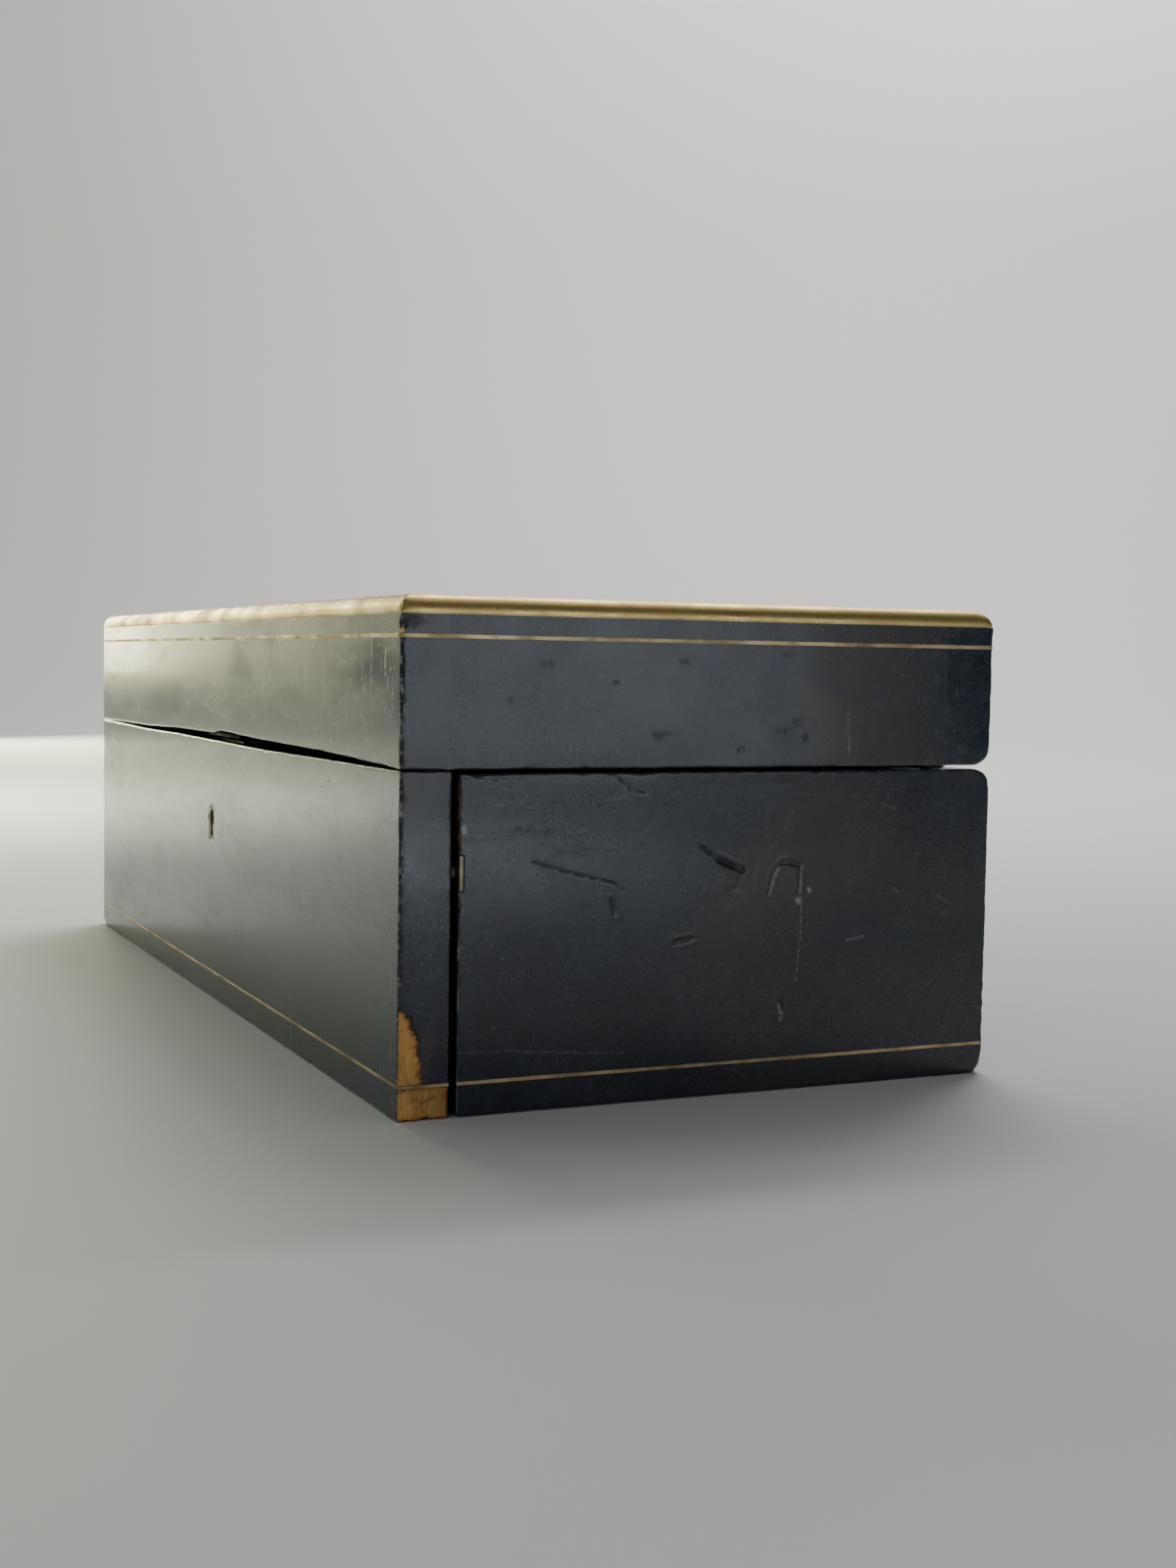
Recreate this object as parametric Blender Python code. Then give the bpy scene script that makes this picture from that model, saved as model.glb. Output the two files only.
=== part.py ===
"""Key-wind cylinder musical box in an ebonised case, modelled as separate working pieces.

The box is 400 mm long (X), 180 mm deep (Y, front at -Y) and 135 mm high (Z).
All lengths below are millimetres and are turned into metres when a mesh is made.
"""

import math

import bmesh
import bpy
from mathutils import Vector

MM = 0.001

# Case
LENGTH = 400.0
DEPTH = 180.0
HEIGHT = 135.0
SEAM = 90.0
WALL = 14.0
FLOOR = 10.0
GAP = 0.3
END_X = LENGTH / 2
SIDE_Y = DEPTH / 2
INNER_Y = SIDE_Y - WALL
PARTITION_X = 146.0
PARTITION_THICK = 7.0

# End flap
FLAP_INNER_X = 188.3
FLAP_FRONT_Y = -73.9
FLAP_BOTTOM = 0.4
FLAP_TOP = 89.2
FLAP_AXIS_X = 188.15
FLAP_AXIS_Y = 87.9

# Lid
LID_BOTTOM = SEAM + GAP
LID_RAIL = 13.0
LID_BACK_RAIL = 16.0
MOULDING = 5.0
LID_AXIS_Y = 88.6
LID_AXIS_Z = 90.9
NOTCH_DEPTH = 9.0
NOTCH_HEIGHT = 3.0

# Lock, at the middle of the front
KEYHOLE_Z = 61.0
KEYHOLE_BORE = 2.8
KEYHOLE_SLOT = 1.3
KEYHOLE_RIM = 1.2
LOCK_HALF = 22.0
LOCK_BACK_Y = -76.2
LOCK_THICK = 8.5
STAPLES_X = (-5.2, 8.8)

# Movement, (y, z) of every arbor that lies along the box
BED_BOTTOM = 16.0
BED_TOP = 20.0
CYLINDER_AXIS = (4.0, 48.0)
CYLINDER_RADIUS = 26.0
CYLINDER_X = (-110.0, 50.0)
BARREL_AXIS = (36.0, 48.0)
BARREL_RADIUS = 23.5
FIRST_AXIS = (32.4, 40.4)
SECOND_AXIS = (46.5, 45.5)
ARBOR = 2.0
WINDING_ARBOR = 2.6
SNAIL_AXIS = (4.0, 63.0)
SNAIL_STEPS = 6
SHIFT_STEP = 0.32

# Wheel work: teeth and module
PINION_TEETH = 16
BARREL_TEETH = 64
BARREL_MODULE = 0.8
GREAT_TEETH = 72
FIRST_PINION_TEETH = 12
GREAT_MODULE = 0.7
FIRST_WHEEL_TEETH = 50
SECOND_PINION_TEETH = 10
FIRST_MODULE = 0.5
WORM_WHEEL_TEETH = 24
WORM_MODULE = 0.6
WORM_STARTS = 2
WORM_WHEEL_X = -150.0
WORM_AXIS_Y = 56.0
WORM_CORE = 1.4
WORM_CREST = 2.3
THREAD_Z = (40.6, 50.4)
RATCHET_TEETH = 24
RATCHET_RADIUS = 9.5

# Comb
COMB_TEETH = 56
COMB_X = (-110.0, 50.0)
COMB_TIP_Y = -22.7
COMB_ROOT_Y = -38.0

# Levers behind the end flap
LEVER_PIVOT_X = 138.0
LEVERS_Y = (-40.0, -14.0)
LEVER_Z = (30.0, 32.5)
ROD_Y = (-71.0, -67.0)
ROD_Z = (23.0, 27.0)

FINISHES = {
    "ebonised_wood": ((0.014, 0.012, 0.013), 0.28, 0.0),
    "bare_wood": ((0.31, 0.15, 0.06), 0.55, 0.0),
    "brass": ((0.58, 0.40, 0.16), 0.34, 1.0),
    "steel": ((0.42, 0.42, 0.44), 0.30, 1.0),
    "blued_steel": ((0.05, 0.06, 0.11), 0.32, 1.0),
    "cast_brass": ((0.47, 0.33, 0.14), 0.48, 1.0),
    "card": ((0.66, 0.58, 0.42), 0.80, 0.0),
}

AXES = {"x": (1, 2), "y": (0, 2), "z": (0, 1)}


def clear_scene():
    for item in list(bpy.data.objects):
        bpy.data.objects.remove(item)


def make_finish(name):
    colour, roughness, metallic = FINISHES[name]
    finish = bpy.data.materials.new(name)
    finish.use_nodes = True
    shader = finish.node_tree.nodes["Principled BSDF"]
    shader.inputs["Base Color"].default_value = (*colour, 1.0)
    shader.inputs["Roughness"].default_value = roughness
    shader.inputs["Metallic"].default_value = metallic
    finish.diffuse_color = (*colour, 1.0)
    return finish


def finish_for(name):
    found = bpy.data.materials.get(name)
    return found or make_finish(name)


# Solid shapes


def stacked(rings, ringed=False):
    """A solid through rings of equally many points, capped, or closed into a loop."""
    mesh = bmesh.new()
    rows = [[mesh.verts.new(point) for point in ring] for ring in rings]
    pairs = list(zip(rows, rows[1:]))
    if ringed:
        pairs.append((rows[-1], rows[0]))
    for lower, upper in pairs:
        for index in range(len(lower)):
            after = (index + 1) % len(lower)
            mesh.faces.new((lower[index], lower[after], upper[after], upper[index]))
    if not ringed:
        mesh.faces.new(rows[0])
        mesh.faces.new(rows[-1])
    bmesh.ops.recalc_face_normals(mesh, faces=mesh.faces)
    return mesh


def place(axis, along, across):
    """The point at a distance along an axis, and at a pair of the other two coordinates."""
    point = [along, along, along]
    first, second = AXES[axis]
    point[first] = across[0]
    point[second] = across[1]
    return point


def prism(outline, axis, start, end):
    return stacked([[place(axis, at, pair) for pair in outline] for at in (start, end)])


def block(x, y, z):
    outline = [(y[0], z[0]), (y[1], z[0]), (y[1], z[1]), (y[0], z[1])]
    return prism(outline, "x", x[0], x[1])


def circle(centre, radius, sides, turn=0.0):
    points = []
    for index in range(sides):
        angle = turn + 2 * math.pi * index / sides
        points.append((centre[0] + radius * math.cos(angle), centre[1] + radius * math.sin(angle)))
    return points


def turned(profile, axis, centre, sides=24, ringed=False):
    """A round solid from (distance along the axis, radius) pairs."""
    rings = []
    for along, radius in profile:
        rings.append([place(axis, along, pair) for pair in circle(centre, radius, sides)])
    return stacked(rings, ringed)


def bar(axis, centre, radius, start, end, sides=16):
    return turned([(start, radius), (end, radius)], axis, centre, sides)


def washer(axis, centre, bore, radius, start, end, sides=24):
    profile = [(start, bore), (end, bore), (end, radius), (start, radius)]
    return turned(profile, axis, centre, sides, ringed=True)


def gear_outline(teeth, module, centre, phase):
    """Straight-flanked teeth; the first tooth points at the phase angle."""
    radius = module * teeth / 2
    pitch = 2 * math.pi / teeth
    low = radius - 1.25 * module
    high = radius + module
    outline = []
    for tooth in range(teeth):
        middle = phase + tooth * pitch
        for reach, offset in ((low, -0.27), (high, -0.10), (high, 0.10), (low, 0.27)):
            angle = middle + offset * pitch
            outline.append((centre[0] + reach * math.cos(angle), centre[1] + reach * math.sin(angle)))
    return outline


def direction(start, end):
    return math.atan2(end[1] - start[1], end[0] - start[0])


def meeting_phase(angle, teeth):
    """The phase of a follower whose gap faces the driver's tooth at this angle."""
    return angle + math.pi + math.pi / teeth


# Objects


def temporary(mesh, origin):
    data = bpy.data.meshes.new("shape")
    for vertex in mesh.verts:
        vertex.co = (vertex.co - Vector(origin)) * MM
    mesh.to_mesh(data)
    mesh.free()
    item = bpy.data.objects.new("shape", data)
    bpy.context.collection.objects.link(item)
    return item


def piece(name, finish, origin, solids, cuts=()):
    """One object from united solids less the cuts, its origin at the point given."""
    body = temporary(solids[0], origin)
    tools = []
    for operation, shapes in (("UNION", solids[1:]), ("DIFFERENCE", cuts)):
        for shape in shapes:
            tool = temporary(shape, origin)
            tools.append(tool)
            step = body.modifiers.new(operation, "BOOLEAN")
            step.operation = operation
            step.solver = "EXACT"
            step.object = tool
    if tools:
        graph = bpy.context.evaluated_depsgraph_get()
        result = bpy.data.meshes.new_from_object(body.evaluated_get(graph))
        body.modifiers.clear()
        body.data = result
    for tool in tools:
        bpy.data.objects.remove(tool)
    body.name = name
    body.data.name = name
    body.location = Vector(origin) * MM
    body.data.materials.clear()
    body.data.materials.append(finish_for(finish))
    body.data.shade_smooth()
    body.data.set_sharp_from_angle(angle=math.radians(30))
    return body


# Hinges: u runs along the pin, v into the boards, w from the fixed board to the moving one


class HingeFrame:
    def __init__(self, middle, along, inward, across):
        self.middle = Vector(middle)
        self.axes = (Vector(along), Vector(inward), Vector(across))

    def point(self, local):
        along, inward, across = self.axes
        return self.middle + along * local[0] + inward * local[1] + across * local[2]

    def block(self, u, v, w):
        corners = [(u[0], v[0]), (u[1], v[0]), (u[1], v[1]), (u[0], v[1])]
        rings = [[self.point((a, b, height)) for a, b in corners] for height in w]
        return stacked(rings)

    def knuckle(self, start, end, radius, sides=16):
        rings = []
        for along in (start, end):
            rings.append([self.point((along, *pair)) for pair in circle((0, 0), radius, sides)])
        return stacked(rings)


def make_hinge(name, frame, fixed, moving, half, radius, offset):
    """Two leaves; the parting line of the boards is at w = -offset from the pin."""
    middle = half / 3
    low = -offset - GAP / 2
    high = -offset + GAP / 2
    leaf = (3.6, 15.5)
    solids = [frame.block((-half, half), leaf, (low - 1.4, low - 0.2))]
    for start, end in ((-half, -middle), (middle, half)):
        solids.append(frame.block((start, end), (0.0, 4.0), (low - 1.3, max(-0.4, low - 0.3))))
        solids.append(frame.knuckle(start, end, radius))
    solids.append(frame.knuckle(-half + 1.0, half - 1.0, radius * 0.45, 12))
    piece(f"{name}_{fixed}_leaf", "brass", frame.middle, solids)
    solids = [
        frame.block((-half, half), leaf, (high + 0.2, high + 1.4)),
        frame.block((-middle + GAP, middle - GAP), (0.0, 4.0), (high + 0.25, high + 1.35)),
        frame.knuckle(-middle + GAP, middle - GAP, radius),
    ]
    cuts = [frame.knuckle(-middle - 2.0, middle + 2.0, radius * 0.45 + 0.25, 12)]
    piece(f"{name}_{moving}_leaf", "brass", frame.middle, solids, cuts)


def hinge_pocket(frame, half, offset, side):
    """The shallow seat that a leaf lies in, cut in the fixed (-1) or the moving (1) board."""
    face = -offset + side * GAP / 2
    depths = sorted((face - side * 2.0, face + side * 1.7))
    return frame.block((-half - GAP, half + GAP), (-4.0, 15.8), depths)


def lid_hinge_frame(x):
    return HingeFrame((x, LID_AXIS_Y, LID_AXIS_Z), (1, 0, 0), (0, -1, 0), (0, 0, 1))


def flap_hinge_frame(z):
    return HingeFrame((FLAP_AXIS_X, FLAP_AXIS_Y, z), (0, 0, 1), (0, -1, 0), (1, 0, 0))


LID_HINGES = {"left": lid_hinge_frame(-120.0), "right": lid_hinge_frame(120.0)}
LID_HINGE_HALF = 18.0
LID_HINGE_OFFSET = LID_AXIS_Z - (SEAM + LID_BOTTOM) / 2
FLAP_HINGES = {"lower": flap_hinge_frame(22.0), "upper": flap_hinge_frame(68.0)}
FLAP_HINGE_HALF = 11.0
FLAP_HINGE_OFFSET = 0.0


# Case


def keyhole_shapes(radius, half_width, before, beyond, lower=0.0):
    """A round hole over a narrower slot, from before the front face to beyond it."""
    depth = (-SIDE_Y - before, -SIDE_Y + beyond)
    middle = KEYHOLE_Z + 1.7
    return [
        bar("y", (0.0, middle), radius, *depth, 20),
        block((-half_width, half_width), depth, (KEYHOLE_Z - 4.6 - lower, middle)),
    ]


def make_base():
    inner_left = -END_X + WALL
    keyhole = keyhole_shapes(KEYHOLE_BORE, KEYHOLE_SLOT, 2, WALL + 2)
    mortise = block(
        (-LOCK_HALF - GAP, LOCK_HALF + GAP),
        (LOCK_BACK_Y - LOCK_THICK - GAP, -INNER_Y + 2),
        (50.0, SEAM + 2),
    )
    rim = KEYHOLE_RIM + GAP
    seat = keyhole_shapes(KEYHOLE_BORE + rim, KEYHOLE_SLOT + rim, 2, 2.3, rim)
    front = block((-END_X, END_X), (-SIDE_Y, -INNER_Y), (0.0, SEAM))
    piece("base_front_board", "ebonised_wood", (0, -SIDE_Y + WALL / 2, 0), [front],
          [mortise] + seat + keyhole)

    outline = [(INNER_Y, 0.0), (SIDE_Y, 0.0), (SIDE_Y, SEAM - NOTCH_HEIGHT),
               (SIDE_Y - NOTCH_DEPTH, SEAM), (INNER_Y, SEAM)]
    back = prism(outline, "x", -END_X, FLAP_INNER_X - GAP)
    corner_x = FLAP_INNER_X - GAP
    corner = [(corner_x, SIDE_Y - NOTCH_DEPTH), (corner_x + 5, SIDE_Y - NOTCH_DEPTH),
              (corner_x + 5, SIDE_Y + 5), (corner_x - NOTCH_HEIGHT, SIDE_Y + 5),
              (corner_x - NOTCH_HEIGHT, SIDE_Y)]
    cuts = [prism(corner, "z", -5.0, SEAM + 5)]
    for frame in LID_HINGES.values():
        cuts.append(hinge_pocket(frame, LID_HINGE_HALF, LID_HINGE_OFFSET, -1))
    for frame in FLAP_HINGES.values():
        cuts.append(hinge_pocket(frame, FLAP_HINGE_HALF, FLAP_HINGE_OFFSET, -1))
    piece("base_back_board", "ebonised_wood", (0, INNER_Y + WALL / 2, 0), [back], cuts)

    inside_y = (-INNER_Y + GAP, INNER_Y - GAP)
    left = block((-END_X, inner_left), inside_y, (0.0, SEAM))
    piece("base_left_board", "ebonised_wood", (-END_X + WALL / 2, 0, 0), [left])
    floor = block((inner_left + GAP, FLAP_INNER_X - GAP), inside_y, (0.0, FLOOR))
    piece("base_bottom_board", "bare_wood", (0, 0, 0), [floor])

    wall_x = (PARTITION_X, PARTITION_X + PARTITION_THICK)
    panel = block(wall_x, inside_y, (FLOOR + GAP, SEAM - 6))
    through = (PARTITION_X - 3, PARTITION_X + PARTITION_THICK + 3)
    cuts = [bar("x", BARREL_AXIS, 5.5, *through, 24)]
    rod_y = (ROD_Y[0] - 0.6, ROD_Y[1] + 0.6)
    cuts.append(block(through, rod_y, (ROD_Z[0] - 0.6, ROD_Z[1] + 0.6)))
    for y in LEVERS_Y:
        cuts.append(block(through, (y - 6.5, y + 6.5), (LEVER_Z[0] - 0.7, LEVER_Z[1] + 0.7)))
    piece("partition", "bare_wood", (PARTITION_X, 0, FLOOR), [panel], cuts)


def make_flap():
    origin = (FLAP_AXIS_X, FLAP_AXIS_Y, FLAP_BOTTOM)
    outline = [(FLAP_INNER_X, FLAP_FRONT_Y), (END_X, FLAP_FRONT_Y), (END_X, SIDE_Y),
               (FLAP_INNER_X + NOTCH_HEIGHT, SIDE_Y), (FLAP_INNER_X, SIDE_Y - NOTCH_DEPTH)]
    board = prism(outline, "z", FLAP_BOTTOM, FLAP_TOP)
    cuts = [hinge_pocket(frame, FLAP_HINGE_HALF, FLAP_HINGE_OFFSET, 1)
            for frame in FLAP_HINGES.values()]
    cuts.append(block((189.7, END_X + 3), (FLAP_FRONT_Y - 3, FLAP_FRONT_Y + 1.5), (58.7, 68.3)))
    bevel = [(SIDE_Y - NOTCH_DEPTH, FLAP_TOP + 2), (SIDE_Y - NOTCH_DEPTH, FLAP_TOP),
             (SIDE_Y, SEAM - NOTCH_HEIGHT), (SIDE_Y + 3, SEAM - NOTCH_HEIGHT), (SIDE_Y + 3, FLAP_TOP + 2)]
    cuts.append(prism(bevel, "x", FLAP_INNER_X - 3, END_X + 3))
    piece("end_flap", "ebonised_wood", origin, [board], cuts)
    catch = block((190.0, END_X), (FLAP_FRONT_Y + 0.2, FLAP_FRONT_Y + 1.2), (59.0, 68.0))
    nib = turned([(FLAP_FRONT_Y - 1.2, 0.8), (FLAP_FRONT_Y - 0.5, 1.8), (FLAP_FRONT_Y + 0.6, 2.0)],
                 "y", (194.5, 63.5), 16)
    piece("flap_catch", "brass", origin, [catch, nib])


def make_lid():
    origin = (0.0, LID_AXIS_Y, LID_AXIS_Z)
    top = HEIGHT - MOULDING - GAP
    link_seat = block((-LOCK_HALF - GAP, LOCK_HALF + GAP), (-86.3, -INNER_Y), (LID_BOTTOM - 2, 92.1))
    front = block((-END_X, END_X), (-SIDE_Y, -SIDE_Y + LID_RAIL), (LID_BOTTOM, top))
    piece("lid_front_rail", "ebonised_wood", origin, [front], [link_seat])
    outline = [(SIDE_Y - LID_BACK_RAIL, LID_BOTTOM), (SIDE_Y - NOTCH_DEPTH, LID_BOTTOM),
               (SIDE_Y, LID_BOTTOM + NOTCH_HEIGHT), (SIDE_Y, top), (SIDE_Y - LID_BACK_RAIL, top)]
    seats = [hinge_pocket(frame, LID_HINGE_HALF, LID_HINGE_OFFSET, 1)
             for frame in LID_HINGES.values()]
    back = prism(outline, "x", -END_X, END_X)
    piece("lid_back_rail", "ebonised_wood", origin, [back], seats)
    rail_y = (-SIDE_Y + LID_RAIL + GAP, SIDE_Y - LID_BACK_RAIL - GAP)
    left = block((-END_X, -END_X + LID_RAIL), rail_y, (LID_BOTTOM, top))
    piece("lid_left_rail", "ebonised_wood", origin, [left])
    right = block((END_X - LID_RAIL, END_X), rail_y, (LID_BOTTOM, top))
    piece("lid_right_rail", "ebonised_wood", origin, [right])
    inset = MOULDING + GAP
    panel = block((-END_X + inset, END_X - inset), (-SIDE_Y + inset, SIDE_Y - inset),
                  (HEIGHT - MOULDING, HEIGHT))
    piece("lid_top_panel", "ebonised_wood", origin, [panel])
    card = block((-82.0, 82.0), (-52.0, 52.0), (HEIGHT - MOULDING - 1.0, HEIGHT - MOULDING - 0.35))
    piece("tune_card", "card", origin, [card])


def moulding_section():
    """(distance in from the outer face, height) of a quarter-round with a small foot."""
    section = [(MOULDING, HEIGHT - MOULDING), (0.0, HEIGHT - MOULDING)]
    section.append((0.0, HEIGHT - MOULDING + 0.8))
    round_radius = MOULDING - 0.8
    for index in range(1, 7):
        angle = math.pi / 2 * index / 6
        section.append((round_radius * (1 - math.cos(angle)),
                        HEIGHT - round_radius + round_radius * math.sin(angle)))
    section.append((MOULDING, HEIGHT))
    return section


def make_mouldings():
    origin = (0.0, LID_AXIS_Y, LID_AXIS_Z)
    section = moulding_section()
    mitre = GAP / 2
    for name, side in (("front", -1), ("back", 1)):
        rings = []
        for end in (-1, 1):
            rings.append([(end * (END_X - mitre - inset), side * (SIDE_Y - inset), height)
                          for inset, height in section])
        piece(f"lid_moulding_{name}", "brass", origin, [stacked(rings)])
    for name, side in (("left", -1), ("right", 1)):
        rings = []
        for end in (-1, 1):
            rings.append([(side * (END_X - inset), end * (SIDE_Y - mitre - inset), height)
                          for inset, height in section])
        piece(f"lid_moulding_{name}", "brass", origin, [stacked(rings)])


def make_lock():
    front_y = LOCK_BACK_Y - LOCK_THICK
    origin = (0, front_y, KEYHOLE_Z)
    case = block((-LOCK_HALF, LOCK_HALF), (front_y, LOCK_BACK_Y), (50.4, SEAM - 0.4))
    cavity = block((-16.0, 17.0), (front_y + 1.4, LOCK_BACK_Y - 1.4), (72.0, SEAM + 2))
    depth = front_y + SIDE_Y + LOCK_THICK - 2
    shapes = keyhole_shapes(KEYHOLE_BORE - 0.4, KEYHOLE_SLOT - 0.3, 2, depth)
    piece("lock_body", "steel", origin, [case], [cavity] + shapes)

    bolt_y = (-81.2, -79.6)
    solids = [block((-14.0, 4.5), bolt_y, (73.0, 77.5))]
    for staple in STAPLES_X:
        upright = staple - 8.0
        solids.append(block((upright, upright + 2.4), bolt_y, (77.0, 86.2)))
        solids.append(block((upright + 2.0, staple - 1.5), bolt_y, (83.6, 86.2)))
    piece("lock_bolt", "steel", (-14.0, -80.4, 75.0), solids)

    lid_origin = (0.0, LID_AXIS_Y, LID_AXIS_Z)
    solids = [block((-LOCK_HALF, LOCK_HALF), (-86.0, -78.0), (LID_BOTTOM + 0.3, 91.8))]
    windows = []
    for staple in STAPLES_X:
        solids.append(block((staple - 1.0, staple + 1.0), (-82.7, -78.2), (80.6, 91.0)))
        windows.append(block((staple - 2.0, staple + 2.0), (-81.6, -79.2), (82.3, 87.6)))
    piece("lid_link_plate", "steel", lid_origin, solids, windows)

    liner = keyhole_shapes(KEYHOLE_BORE + KEYHOLE_RIM, KEYHOLE_SLOT + KEYHOLE_RIM, 0, 2.0, KEYHOLE_RIM)
    cuts = keyhole_shapes(KEYHOLE_BORE, KEYHOLE_SLOT, 2, 4.0)
    piece("keyhole_escutcheon", "brass", (0, -SIDE_Y, KEYHOLE_Z), liner, cuts)


# Movement


def make_bed():
    plate = block((-164.0, 142.0), (-64.0, 66.0), (BED_BOTTOM, BED_TOP))
    solids = [plate]
    for x in (-150.0, 128.0):
        for y in (-52.0, 54.0):
            solids.append(bar("z", (x, y), 7.0, FLOOR + GAP, BED_BOTTOM + 1))
    for y in LEVERS_Y:
        pivot = (LEVER_PIVOT_X, y)
        solids.append(bar("z", pivot, 3.6, BED_TOP - 1, LEVER_Z[0] - GAP))
        solids.append(bar("z", pivot, 1.5, LEVER_Z[0] - 1, LEVER_Z[1] + 1.2, 12))
    piece("bedplate", "cast_brass", (0, 0, BED_TOP), solids)


def standing_plate(x, y, top, foot_x, foot_y):
    base = BED_TOP + GAP
    upright = block(x, y, (base, top))
    foot = block(foot_x, foot_y, (base, base + 3.5))
    return [upright, foot]


def make_bearings():
    solids = standing_plate((-132.0, -126.0), (-2.0, 10.0), 55.0, (-140.0, -124.0), (-7.0, 15.0))
    cuts = [bar("x", CYLINDER_AXIS, ARBOR + 0.3, -140.0, -120.0)]
    piece("cylinder_bearing_left", "cast_brass", (-129.0, *CYLINDER_AXIS), solids, cuts)
    solids = standing_plate((54.0, 58.5), (-8.0, 50.0), 57.0, (53.0, 59.5), (-14.0, 58.0))
    cuts = [
        bar("x", CYLINDER_AXIS, ARBOR + 0.3, 45.0, 68.0),
        bar("x", BARREL_AXIS, WINDING_ARBOR + 0.4, 45.0, 68.0),
        prism([(10.0, 60.0), (30.0, 60.0), (26.0, 52.0), (14.0, 52.0)], "x", 45.0, 68.0),
    ]
    piece("centre_bridge", "cast_brass", (56.0, *CYLINDER_AXIS), solids, cuts)
    solids = standing_plate((112.0, 116.5), (14.0, 56.0), 66.0, (105.0, 118.0), (10.0, 60.0))
    cuts = [bar("x", BARREL_AXIS, WINDING_ARBOR + 0.4, 100.0, 125.0)]
    piece("barrel_bearing", "cast_brass", (114.0, *BARREL_AXIS), solids, cuts)


def make_cylinder():
    origin = (0.0, *CYLINDER_AXIS)
    arbor = turned([(-140.0, ARBOR - 0.4), (-139.0, ARBOR), (67.0, ARBOR), (68.0, ARBOR - 0.4)],
                   "x", CYLINDER_AXIS, 16)
    piece("cylinder_arbor", "steel", origin, [arbor])

    start, end = CYLINDER_X
    bore = ARBOR + 0.3
    drum = washer("x", CYLINDER_AXIS, bore, CYLINDER_RADIUS, start, end, 48)
    step_pin = bar("x", (SNAIL_AXIS[0], SNAIL_AXIS[1] + 4.0), 0.9, start - 3.0, start + 2, 12)
    piece("cylinder", "brass", origin, [drum, step_pin])

    facing = direction(CYLINDER_AXIS, FIRST_AXIS)
    wheel = prism(gear_outline(GREAT_TEETH, GREAT_MODULE, CYLINDER_AXIS, facing), "x", -121.0, -117.5)
    hub = bar("x", CYLINDER_AXIS, 6.0, -124.0, -118.0)
    post = bar("x", SNAIL_AXIS, 1.4, -118.5, -112.2, 12)
    cuts = [bar("x", CYLINDER_AXIS, bore, -130.0, -110.0)]
    for index in range(5):
        angle = facing + 2 * math.pi * (index + 0.5) / 5
        if abs(math.sin(angle) - 1) < 0.35:
            continue
        centre = (CYLINDER_AXIS[0] + 14.5 * math.cos(angle), CYLINDER_AXIS[1] + 14.5 * math.sin(angle))
        cuts.append(bar("x", centre, 5.6, -123.0, -115.0, 16))
    piece("great_wheel", "brass", origin, [wheel, hub, post], cuts)

    facing = direction(CYLINDER_AXIS, BARREL_AXIS)
    pinion = prism(gear_outline(PINION_TEETH, BARREL_MODULE, CYLINDER_AXIS, facing), "x", 60.0, 66.6)
    cuts = [bar("x", CYLINDER_AXIS, bore, 55.0, 70.0)]
    piece("cylinder_pinion", "steel", origin, [pinion], cuts)


def make_snail():
    """A six-point star with a stair of six sectors, each one step higher than the last."""
    origin = (-116.0, *SNAIL_AXIS)
    outline = []
    for index in range(2 * SNAIL_STEPS):
        angle = math.pi * (index + 0.5) / SNAIL_STEPS
        reach = 7.6 if index % 2 else 5.6
        outline.append((SNAIL_AXIS[0] + reach * math.cos(angle), SNAIL_AXIS[1] + reach * math.sin(angle)))
    solids = [prism(outline, "x", -117.2, -115.2)]
    sector = 2 * math.pi / SNAIL_STEPS
    for step in range(SNAIL_STEPS):
        middle = math.pi / 2 - step * sector
        fan = [SNAIL_AXIS]
        for index in range(5):
            angle = middle - sector / 2 - 0.01 + (sector + 0.02) * index / 4
            fan.append((SNAIL_AXIS[0] + 5.2 * math.cos(angle), SNAIL_AXIS[1] + 5.2 * math.sin(angle)))
        solids.append(prism(fan, "x", -115.7, -115.0 + SHIFT_STEP * (step + 1)))
    cuts = [bar("x", SNAIL_AXIS, 1.7, -120.0, -110.0, 12)]
    piece("change_snail", "steel", origin, solids, cuts)


def make_barrel():
    origin = (80.0, *BARREL_AXIS)
    facing = direction(CYLINDER_AXIS, BARREL_AXIS)
    phase = meeting_phase(facing, BARREL_TEETH)
    teeth = prism(gear_outline(BARREL_TEETH, BARREL_MODULE, BARREL_AXIS, phase), "x", 61.0, 66.0)
    shell = bar("x", BARREL_AXIS, BARREL_RADIUS, 65.0, 98.0, 48)
    cuts = [
        bar("x", BARREL_AXIS, BARREL_RADIUS - 2.0, 68.0, 100.0, 48),
        bar("x", BARREL_AXIS, WINDING_ARBOR + 0.4, 55.0, 75.0),
    ]
    piece("barrel_drum", "brass", origin, [teeth, shell], cuts)
    cover = washer("x", BARREL_AXIS, WINDING_ARBOR + 0.4, BARREL_RADIUS, 98.3, 100.6, 48)
    piece("barrel_cover", "brass", origin, [cover])

    turns = 7
    steps = turns * 20
    rings = []
    for index in range(steps + 1):
        angle = 2 * math.pi * turns * index / steps
        reach = 4.4 + 16.2 * index / steps
        ring = []
        for radius, x in ((reach, 69.5), (reach + 0.6, 69.5), (reach + 0.6, 96.5), (reach, 96.5)):
            ring.append((x, BARREL_AXIS[0] + radius * math.cos(angle),
                         BARREL_AXIS[1] + radius * math.sin(angle)))
        rings.append(ring)
    piece("mainspring", "blued_steel", origin, [stacked(rings)])


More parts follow.
